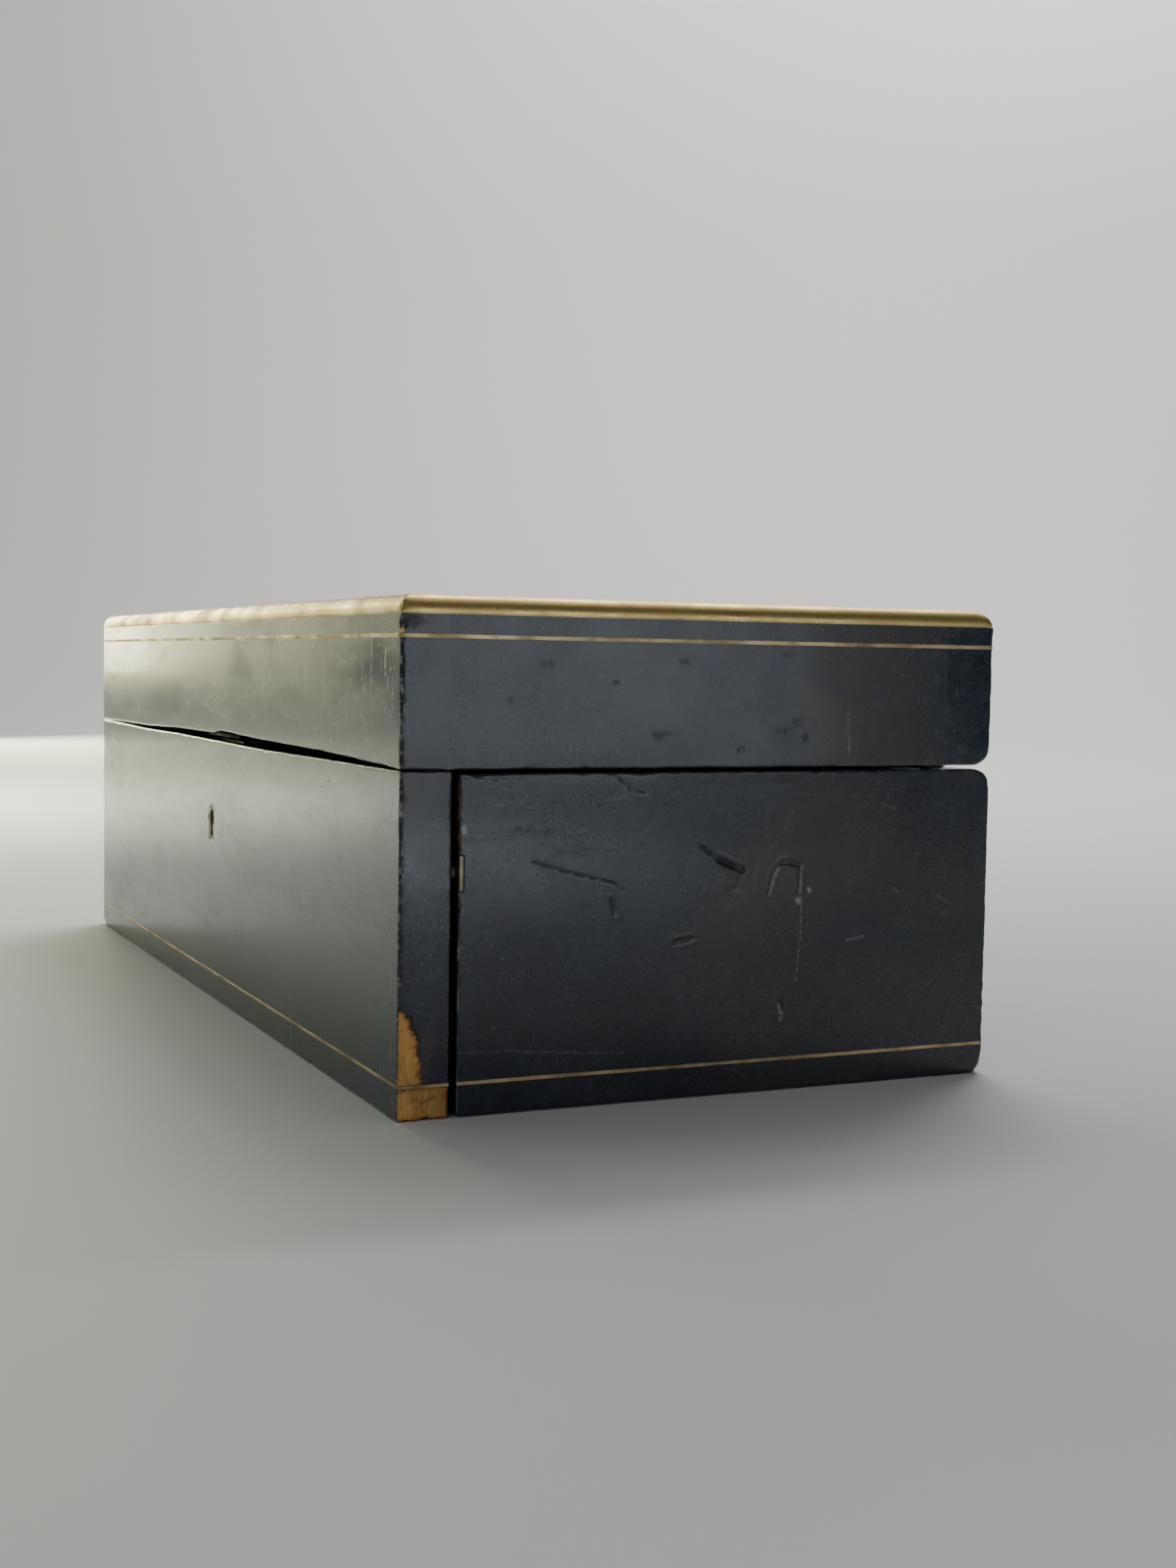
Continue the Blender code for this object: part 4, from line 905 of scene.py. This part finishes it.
def dress(node, material, bevel=0.0, segments=2):
    """Gives a CAD node its finished material and, where wanted, softened arrises."""
    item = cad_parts[node]
    item.data.materials.clear()
    item.data.materials.append(material)
    if bevel:
        step = item.modifiers.new("arris", "BEVEL")
        step.width = bevel * MM
        step.segments = segments
        step.limit_method = "ANGLE"
        step.angle_limit = math.radians(30.0)
        step.harden_normals = True


make_front_board()
make_flap()
make_lid_front()
make_lid_right()
make_lid_back()
make_lid_left()


# Brass lines let into the boards


PATH_STEP = 3.0


def rounded_path(corners, radius, closed):
    """Points and outward normals along a flat path of right-angled corners, taken clockwise from above."""
    points = []
    count = len(corners)
    spans = count if closed else count - 1
    for index in range(spans):
        start, end = Vector(corners[index]), Vector(corners[(index + 1) % count])
        way = (end - start).normalized()
        normal = Vector((-way.y, way.x))
        turned_at_start = closed or index > 0
        turned_at_end = closed or index < spans - 1
        first = start + way * (radius if turned_at_start else 0)
        last = end - way * (radius if turned_at_end else 0)
        pieces = max(1, int((last - first).length / PATH_STEP))
        for piece in range(pieces + 1):
            points.append((first.lerp(last, piece / pieces), normal))
        if turned_at_end:
            after = Vector(corners[(index + 2) % count])
            next_way = (after - end).normalized()
            next_normal = Vector((-next_way.y, next_way.x))
            centre = last - normal * radius
            for piece in range(1, 5):
                angle = math.pi / 2 * piece / 5
                mixed = (normal * math.cos(angle) + next_normal * math.sin(angle)).normalized()
                points.append((centre + mixed * radius, mixed))
    return points


def make_line(name, body, corners, height, width, seed, radius=0.6, closed=False):
    """A thin brass line standing a hair proud of the wood, with a slightly uneven edge."""
    path = rounded_path(corners, radius, closed)
    dice = random.Random(seed)
    points = []
    drift = 0.0
    for place, normal in path:
        drift = 0.7 * drift + dice.uniform(-0.03, 0.03)
        half = width / 2 + dice.uniform(-0.05, 0.03)
        proud = 0.07 + dice.uniform(-0.03, 0.03)
        for out, up in ((-0.5, -half), (proud - 0.06, -half), (proud, -half + 0.1),
                        (proud, half - 0.1), (proud - 0.06, half), (-0.5, half)):
            at = place + normal * out
            points.append((at.x, at.y, height + up + drift))
    faces = tube_faces(len(path), 6, closed)
    item = new_object(name, points, faces, [STRINGING], body, 30.0)


def make_lines():
    left = LOW[0]
    base_end, flap_start = 184.0, 192.0
    short = 0.05
    right_back, right_front, left_front, left_back = (
        (END_X, BACK_Y), (END_X, FRONT_Y), (left, FRONT_Y), (left, BACK_Y))
    corners = [(END_X, HIGH[1] - short), right_front, left_front, left_back, (base_end, BACK_Y)]
    make_line("base_line", "case", corners, BASE_LINE_Z, 0.9, 3)
    flap_edge = node_box("end_flap")[0][1]
    corners = [(flap_start, BACK_Y), right_back, (END_X, flap_edge + short)]
    make_line("flap_line", "flap", corners, BASE_LINE_Z, 1.0, 4)
    corners = [left_back, right_back, right_front, left_front]
    make_line("lid_line", "lid", corners, LID_LINE_Z, 1.1, 5, 0.45, True)


# Brass mouldings and the top


CORNER_ROUND = (0.6, 4.5)
SIDES = ("front", "back", "left", "right")


def moulding_profile():
    """Quarter-round with a fillet below and a narrow flat above, as (inset, height) pairs."""
    profile = [(0.35, 130.0), (0.35, 130.2), (0.06, 130.28), (0.0, 130.42), (0.0, 130.75)]
    for step in range(1, 12):
        angle = math.pi / 2 * step / 12
        profile.append((4.3 * (1 - math.cos(angle)), 130.75 + 4.1 * math.sin(angle)))
    profile += [(4.45, 134.93), (4.7, 135.0), (5.0, 135.0), (5.0, 130.0)]
    return profile


def make_moulding(side):
    node = f"lid_moulding_{side}"
    low, high = node_box(node)
    along = 0 if side in ("front", "back") else 1
    sign = 1 if side in ("right", "back") else -1
    outer = high[1 - along] if sign > 0 else low[1 - along]
    reach = high[along]
    profile = moulding_profile()
    stations = int(reach * 2 / 1.2)
    grid = []
    for index in range(stations + 1):
        share = -1 + 2 * index / stations
        for inset, height in profile:
            point = [0.0, 0.0, height]
            point[1 - along] = outer - sign * inset
            point[along] = share * (reach - inset)
            grid.append(point)
    grid = np.array(grid)
    seed = 1 + SIDES.index(side)
    dent = 0.004 * waves(grid, 40.0, seed) + 0.003 * waves(grid, 8.0, seed + 10)
    dice = random.Random(seed + 50)
    for _ in range(int(reach / 9)):
        place = dice.uniform(-reach, reach)
        size = dice.uniform(0.5, 1.8)
        height = dice.uniform(130.4, 134.6)
        gap = ((grid[:, along] - place) / size) ** 2 + ((grid[:, 2] - height) / 0.8) ** 2
        dent += 0.03 * dice.random() ** 2 * np.exp(-gap)
    dent = np.maximum(dent, -0.03)
    seat = (grid[:, 2] > 130.1) & (np.abs(grid[:, 1 - along] - outer) < 4.6)
    grid[:, 1 - along] -= sign * dent * seat * 0.8
    grid[:, 2] -= dent * seat * (grid[:, 2] > 132.5) * 0.6
    bend = np.interp(grid[:, 2], [130.5, 134.5], CORNER_ROUND)[:, None]
    beyond = np.maximum(np.abs(grid[:, :2]) - (np.array([END_X, -FRONT_Y]) - bend), 0)
    length = np.linalg.norm(beyond, axis=1)
    excess = np.maximum(length - bend[:, 0], 0) / np.maximum(length, 1e-9)
    grid[:, :2] -= np.sign(grid[:, :2]) * beyond * excess[:, None]
    if side in ("right", "back"):
        near = np.linalg.norm(grid[:, :2] - np.array([END_X, BACK_Y]), axis=1)
        grid[:, 2] -= bell(near, 0, 3.2) * np.clip(grid[:, 2] - 131.5, 0, 4) * 0.45
    faces = tube_faces(stations + 1, len(profile))
    item = new_object(f"moulding_{side}", grid, faces, [MOULDING], "lid", 28.0)
    fix_normals(item)
    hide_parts(node)


def fix_normals(item):
    """Turns every face of a closed mesh outwards."""
    mesh = bmesh.new()
    mesh.from_mesh(item.data)
    bmesh.ops.recalc_face_normals(mesh, faces=mesh.faces)
    mesh.to_mesh(item.data)
    mesh.free()


def flat_ring(name, outline, width, height):
    """A flat brass band let into the lid's top along a closed outline, standing a hair proud."""
    thick, proud = 0.5, 0.08
    count = len(outline)
    points = []
    for index in range(count):
        before, here, after = (Vector(outline[(index + step) % count]) for step in (-1, 0, 1))
        way = ((here - before).normalized() + (after - here).normalized()).normalized()
        normal = Vector((-way.y, way.x))
        stretch = 1 / max(0.4, abs((here - before).normalized().dot(way)))
        for out, up in ((-1, -thick), (-1, proud), (1, proud), (1, -thick)):
            at = here + normal * (out * width / 2) * stretch
            points.append((at.x, at.y, height + up))
    item = new_object(name, points, tube_faces(count, 4, True), [STRINGING], "lid", 30.0)
    fix_normals(item)


def cartouche(half_x, half_y, notch):
    """A long panel outline with hollowed corners."""
    outline = []
    for corner_x, corner_y, first in ((1, 1, 270), (-1, 1, 360), (-1, -1, 90), (1, -1, 180)):
        centre = (corner_x * half_x, corner_y * half_y)
        for step in range(9):
            angle = math.radians(first - 90 * step / 8)
            outline.append((centre[0] + notch * math.cos(angle), centre[1] + notch * math.sin(angle)))
    return outline


def make_top():
    node = "lid_top_panel"
    low, high = node_box(node)
    board = Board("lid_top", node, "lid", (2.5, 2.5, 1.5), 0.3, 91)
    board.sink(TOP, 0.03 * np.maximum(waves(board.rest, 70.0, 92), 0))
    marks = scratched(np.zeros(len(board.rest)), board.rest[:, :2], random.Random(19), 40,
                      ((low[0], high[0]), (low[1], high[1])), (0, 3.1), (4, 30), (0.1, 0.3), 1.2)
    board.mark("scuff", np.where(board.face(TOP), marks, 0))
    board.build(LACQUER_BASE, WALNUT_X, (BOTTOM,))
    top = high[2]
    flat_ring("top_border", cartouche(high[0] - 14, high[1] - 14, 9.0), 1.1, top)
    flat_ring("top_cartouche", cartouche(46.0, 20.0, 7.0), 0.9, top)
    flat_ring("top_cartouche_inner", cartouche(43.0, 17.0, 6.2), 0.4, top)


# Screws and other small metalwork


def add_screw(mesh, centre, axis, sign, radius, height, turn):
    """Adds a slotted cheese-head screw to a bmesh; it stands along an axis."""
    middle = list(centre)
    foot = middle.pop(axis)

    def at(flat, up):
        pair = (middle[0] + flat[0], middle[1] + flat[1])
        return mesh.verts.new(lifted(pair, axis, foot + sign * up))

    sides = 24
    slot_half, reach, floor = radius * 0.16, radius * 0.80, height * 0.45
    profile = [(1.0, -0.3), (1.0, height * 0.72), (0.93, height * 0.92), (0.82, height)]
    rings = [[at(pair, up) for pair in circle((0.0, 0.0), radius * share, sides, turn)]
             for share, up in profile]
    for lower, upper in zip(rings, rings[1:]):
        join(mesh, lower, upper)
    mesh.faces.new(rings[0])
    top = rings[-1]
    walls = []
    along = (math.cos(turn + math.pi / sides), math.sin(turn + math.pi / sides))
    across = (-along[1], along[0])
    half = sides // 2
    for side, skip in ((1, 0), (-1, half)):
        arc = [top[(skip + index) % sides] for index in range(1, half + 1)]
        ends = []
        for direction in (1, -1):
            corner = [side * (reach * direction * a + slot_half * b) for a, b in zip(along, across)]
            ends.append((at(corner, height), at(corner, floor)))
        mesh.faces.new(arc + [ends[1][0], ends[0][0]])
        mesh.faces.new((ends[0][0], ends[1][0], ends[1][1], ends[0][1]))
        walls.append(ends)
    (a, b), (c, d) = walls
    mesh.faces.new((a[1], b[1], c[1], d[1]))


def make_screws(name, body, spots, material=BLUED):
    """One piece holding several screws: (centre, axis, sign, radius, height) each."""
    mesh = bmesh.new()
    dice = random.Random(len(name) * 7 + len(spots))
    for centre, axis, sign, radius, height in spots:
        add_screw(mesh, centre, axis, sign, radius, height, dice.uniform(0, 3.1))
    item = from_bmesh(name, mesh, [material], body, 30.0)


COMB_TEETH = 56
COMB_START = -110.0
TOOTH_PITCH = 160.0 / COMB_TEETH
TUNES = 6
TUNE_PITCH = 0.32
BEATS = 96
PIN_ROOT, PIN_TIP = -0.15, 0.55


def make_pins():
    """The cylinder's pins: a track per comb tooth and tune, in arcs that follow one another."""
    low, high = node_box("cylinder")
    axis_y, axis_z = (low[1] + high[1]) / 2, (low[2] + high[2]) / 2
    radius = (high[2] - low[2]) / 2
    dice = random.Random(4)
    points, faces = [], []
    for tooth in range(COMB_TEETH):
        for tune in range(TUNES):
            x = COMB_START + (tooth + 0.5) * TOOTH_PITCH + (tune - (TUNES - 1) / 2) * TUNE_PITCH
            busy = 8 + 9 * math.exp(-((tooth - 34) / 15.0) ** 2)
            for _ in range(int(busy * dice.uniform(0.6, 1.3))):
                beat = dice.randrange(BEATS) / BEATS + dice.choice((0, 0, 0.004))
                angle = 2 * math.pi * (0.03 + 0.94 * beat)
                start = len(points)
                lean = dice.uniform(-0.008, 0.008)
                for reach, half in ((radius + PIN_ROOT, 0.12), (radius + PIN_TIP, 0.10)):
                    for dx, dt in ((-1, -1), (1, -1), (1, 1), (-1, 1)):
                        swing = angle + (dt * half + (0.1 if reach > radius else 0)) / radius + lean
                        out, up = reach * math.cos(swing), reach * math.sin(swing)
                        points.append((x + dx * half, axis_y + out, axis_z + up))
                faces.append((start + 4, start + 5, start + 6, start + 7))
                for side in range(4):
                    after = (side + 1) % 4
                    faces.append((start + side, start + after, start + 4 + after, start + 4 + side))
    item = new_object("cylinder_pins", points, faces, [STEEL], "pinned_cylinder", 20.0)
    fix_normals(item)


def make_movement():
    """Finishes for the movement's CAD nodes, the cylinder's pins and the screws."""
    for node in ("governor_frame", "governor_cock", "great_wheel", "cylinder_pinion", "barrel_drum",
                 "barrel_cover", "governor_first_arbor", "governor_second_arbor", "winding_key"):
        dress(node, BRASS, bevel=0.12)
    dress("cylinder", CYLINDER_BRASS, bevel=0.4)
    for node in ("bedplate", "cylinder_bearing_left", "centre_bridge", "barrel_bearing", "comb_base"):
        dress(node, CAST_BRASS, bevel=0.5, segments=3)
    for node in ("cylinder_arbor", "winding_arbor", "ratchet_wheel", "click", "governor_fly", "comb",
                 "change_lever", "instant_stop_lever", "start_stop_rod", "change_snail"):
        dress(node, STEEL, bevel=0.15)
    for node in ("click_spring", "mainspring"):
        dress(node, BLUED)
    dress("tune_card", CARD, bevel=0.1)
    make_pins()
    spots = [((x, -52.5, 48.4), 2, 1, 2.7, 1.6) for x in (-103.0, -66.0, -30.0, 6.0, 43.0)]
    make_screws("comb_screws", "case", spots)
    foot = node_box("cylinder_bearing_left")[0][2] + 3.5
    feet = ((-136.0, -3.8), (-136.0, 11.8), (56.25, -11.2), (56.25, 54.2), (109.0, 12.2), (109.0, 57.8))
    make_screws("foot_screws", "case", [((x, y, foot), 2, 1, 1.8, 1.3) for x, y in feet])
    spots = [((x, 59.2, 25.0), 2, 1, 2.0, 1.3) for x in (-159.0, -134.0)]
    spots += [((x, 30.0, 59.6), 2, 1, 1.9, 1.2) for x in (-158.5, -134.5)]
    make_screws("governor_screws", "case", spots)


def make_hinge_screws():
    """Flush screws in the four hinges, on the leaf faces that meet when the case is shut."""
    seam = (SEAM_Z + node_box("lid_front_rail")[0][2]) / 2
    leaf = 0.35
    for moving, names, long_axis, axis, radius, places in (
        ("lid", ("left", "right"), 0, 2, 1.9, ((-13.0, 9.5), (0.0, 13.0), (13.0, 9.5))),
        ("flap", ("lower", "upper"), 2, 0, 1.8, ((-6.5, 10.5), (6.5, 10.5))),
    ):
        below, above = [], []
        for name in names:
            low, high = node_box(f"{moving}_hinge_{name}_base_leaf")
            parting = seam if moving == "lid" else low[0] + 1.7
            for along, inward in places:
                centre = [0.0, high[1] - inward, 0.0]
                centre[long_axis] = (low[long_axis] + high[long_axis]) / 2 + along
                for spots, sign in ((below, 1), (above, -1)):
                    centre[axis] = parting - sign * leaf
                    spots.append((tuple(centre), axis, sign, radius, 0.2))
        make_screws(f"{moving}_hinge_screws_base", "case", below, STEEL)
        make_screws(f"{moving}_hinge_screws_{moving}", moving, above, STEEL)


def make_leads():
    """Tuning leads hanging below the bass teeth of the comb."""
    mesh = bmesh.new()
    under, tip = 46.0, -25.0
    half = TOOTH_PITCH * 0.22
    for tooth in range(18):
        middle = COMB_START + (tooth + 0.5) * TOOTH_PITCH
        length = 6.5 - 0.22 * tooth
        depth = 4.6 - 0.13 * tooth
        outline = [(tip, under), (tip, under - depth * 0.85), (tip - 0.6, under - depth),
                   (tip + 0.1 - length, under - depth * 0.8), (tip - 0.4 - length, under)]
        add_prism(mesh, outline, 0, middle - half, middle + half)
    item = from_bmesh("tuning_leads", mesh, [LEAD], "case", 30.0)


def make_case():
    """Finishes for the CAD nodes that belong to the case."""
    base_x = make_lacquer("board_base_long", 0.22, 5.0, inner=INNER_BASE, grain=0)
    base_y = make_lacquer("board_base_short", 0.22, 15.0, inner=INNER_BASE, grain=1)
    dress("base_back_board", base_x, bevel=0.5, segments=3)
    dress("base_left_board", base_y, bevel=0.5, segments=3)
    dress("base_bottom_board", DEAL, bevel=0.5)
    dress("partition", WALNUT_Y, bevel=0.6, segments=3)
    for moving, names in (("lid", ("left", "right")), ("flap", ("lower", "upper"))):
        for name in names:
            for half in ("base", moving):
                dress(f"{moving}_hinge_{name}_{half}_leaf", BRASS, bevel=0.15)
    dress("flap_catch", CATCH_BRASS, bevel=0.15)
    dress("keyhole_escutcheon", CATCH_BRASS, bevel=0.2)
    dress("lock_body", BRASS, bevel=0.25)
    dress("lid_link_plate", IRON, bevel=0.2)
    dress("lock_bolt", STEEL, bevel=0.15)


make_lines()
for SIDE in SIDES:
    make_moulding(SIDE)
make_top()
make_case()
make_movement()
make_hinge_screws()
make_leads()


# Stage, light and camera


def make_stage():
    """A pale floor that curves up into a plain backdrop behind the object."""
    mesh = bmesh.new()
    away, side = Vector((-0.91, 0.41)), Vector((0.41, 0.91))
    foot, radius = 2.0, 0.9
    section = [(-6.0, 0.0), (-2.0, 0.0), (-0.6, 0.0), (0.6, 0.0), (foot, 0.0)]
    for step in range(1, 13):
        angle = math.pi / 2 * step / 12
        section.append((foot + radius * math.sin(angle), radius * (1 - math.cos(angle))))
    section.append((foot + radius, 4.0))
    rows = []
    for back, up in section:
        row = []
        for reach in (-6.0, -2.0, 0.0, 2.0, 6.0):
            at = away * back + side * reach
            row.append(mesh.verts.new((at.x, at.y, up)))
        rows.append(row)
    for lower, upper in zip(rows, rows[1:]):
        for index in range(4):
            mesh.faces.new((lower[index + 1], lower[index], upper[index], upper[index + 1]))
    bmesh.ops.recalc_face_normals(mesh, faces=mesh.faces)
    data = bpy.data.meshes.new("floor")
    mesh.to_mesh(data)
    mesh.free()
    data.shade_smooth()
    floor = linked("floor", data)
    data.materials.append(make_floor_finish())


def make_light(name, place, target, size, watts, colour, spread=180):
    """A rectangular area light, placed in metres and turned towards a target."""
    data = bpy.data.lights.new(name, "AREA")
    data.shape = "RECTANGLE"
    data.size, data.size_y = size
    data.energy = watts
    data.color = colour
    data.spread = math.radians(spread)
    item = linked(name, data)
    item.location = place
    item.rotation_euler = (Vector(target) - Vector(place)).to_track_quat("-Z", "Y").to_euler()


def make_world(strength):
    world = bpy.data.worlds.new("studio")
    world.use_nodes = True
    background = world.node_tree.nodes["Background"]
    background.inputs["Color"].default_value = (0.88, 0.95, 1.0, 1.0)
    background.inputs["Strength"].default_value = strength
    bpy.context.scene.world = world


def make_camera():
    """A camera near the right-hand end of the front, looking back along the box."""
    yaw, pitch, roll = (math.radians(value) for value in (65.62, 3.544, 0.906))
    forward = Vector((-math.sin(yaw) * math.cos(pitch), math.cos(yaw) * math.cos(pitch), -math.sin(pitch)))
    level = Vector((math.cos(yaw), math.sin(yaw), 0.0))
    above = level.cross(forward)
    right = level * math.cos(roll) + above * math.sin(roll)
    up = above * math.cos(roll) - level * math.sin(roll)
    data = bpy.data.cameras.new("camera")
    data.lens = 44.94
    data.sensor_width = 36.0
    item = linked("camera", data)
    turn = Matrix((right, up, -forward)).transposed().to_4x4()
    item.matrix_world = Matrix.Translation((0.6689, -0.2504, 0.1181)) @ turn
    bpy.context.scene.camera = item


make_stage()
make_world(0.09)
# Name, place, target, size, watts, colour and, where it is narrowed, spread in degrees.
for LIGHT in (
    ("window", (-2.1, -0.11, 0.42), (-0.2, -0.15, 0.1), (0.8, 0.66), 19.5, (0.97, 0.98, 0.57)),
    ("left_pool", (-0.95, -0.25, 0.95), (-0.95, -0.25, 0.0), (0.5, 0.5), 2.2, (0.94, 1.0, 0.74), 44),
    ("key", (-1.0, -1.3, 0.95), (0.0, -0.05, 0.05), (1.2, 0.8), 2.7, (0.83, 1.0, 0.86)),
    ("fill", (0.95, -0.95, 1.1), (0.15, 0.0, 0.05), (0.6, 0.6), 1.6, (0.97, 0.98, 1.0)),
    ("top", (-0.8, 0.6, 1.6), (-0.5, 0.4, 0.0), (1.4, 1.0), 5.6, (1.0, 1.0, 1.0), 110),
    ("end", (1.7, 0.52, 0.22), (0.2, 0.0, 0.08), (0.72, 0.42), 1.6, (0.88, 0.95, 1.0)),
    ("end_pool", (0.96, 0.05, 0.7), (0.88, 0.05, 0.0), (0.25, 0.25), 2.0, (0.88, 0.95, 1.0), 50),
    ("crown", (0.22, 0.50, 1.3), (0.2, 0.0, 0.13), (0.8, 0.5), 0.75, (1.0, 0.95, 0.86)),
    ("backdrop", (-1.3, 1.4, 2.2), (-2.5, 1.4, 0.7), (2.0, 0.8), 50.0, (1.0, 1.0, 1.0)),
):
    make_light(*LIGHT)
make_camera()
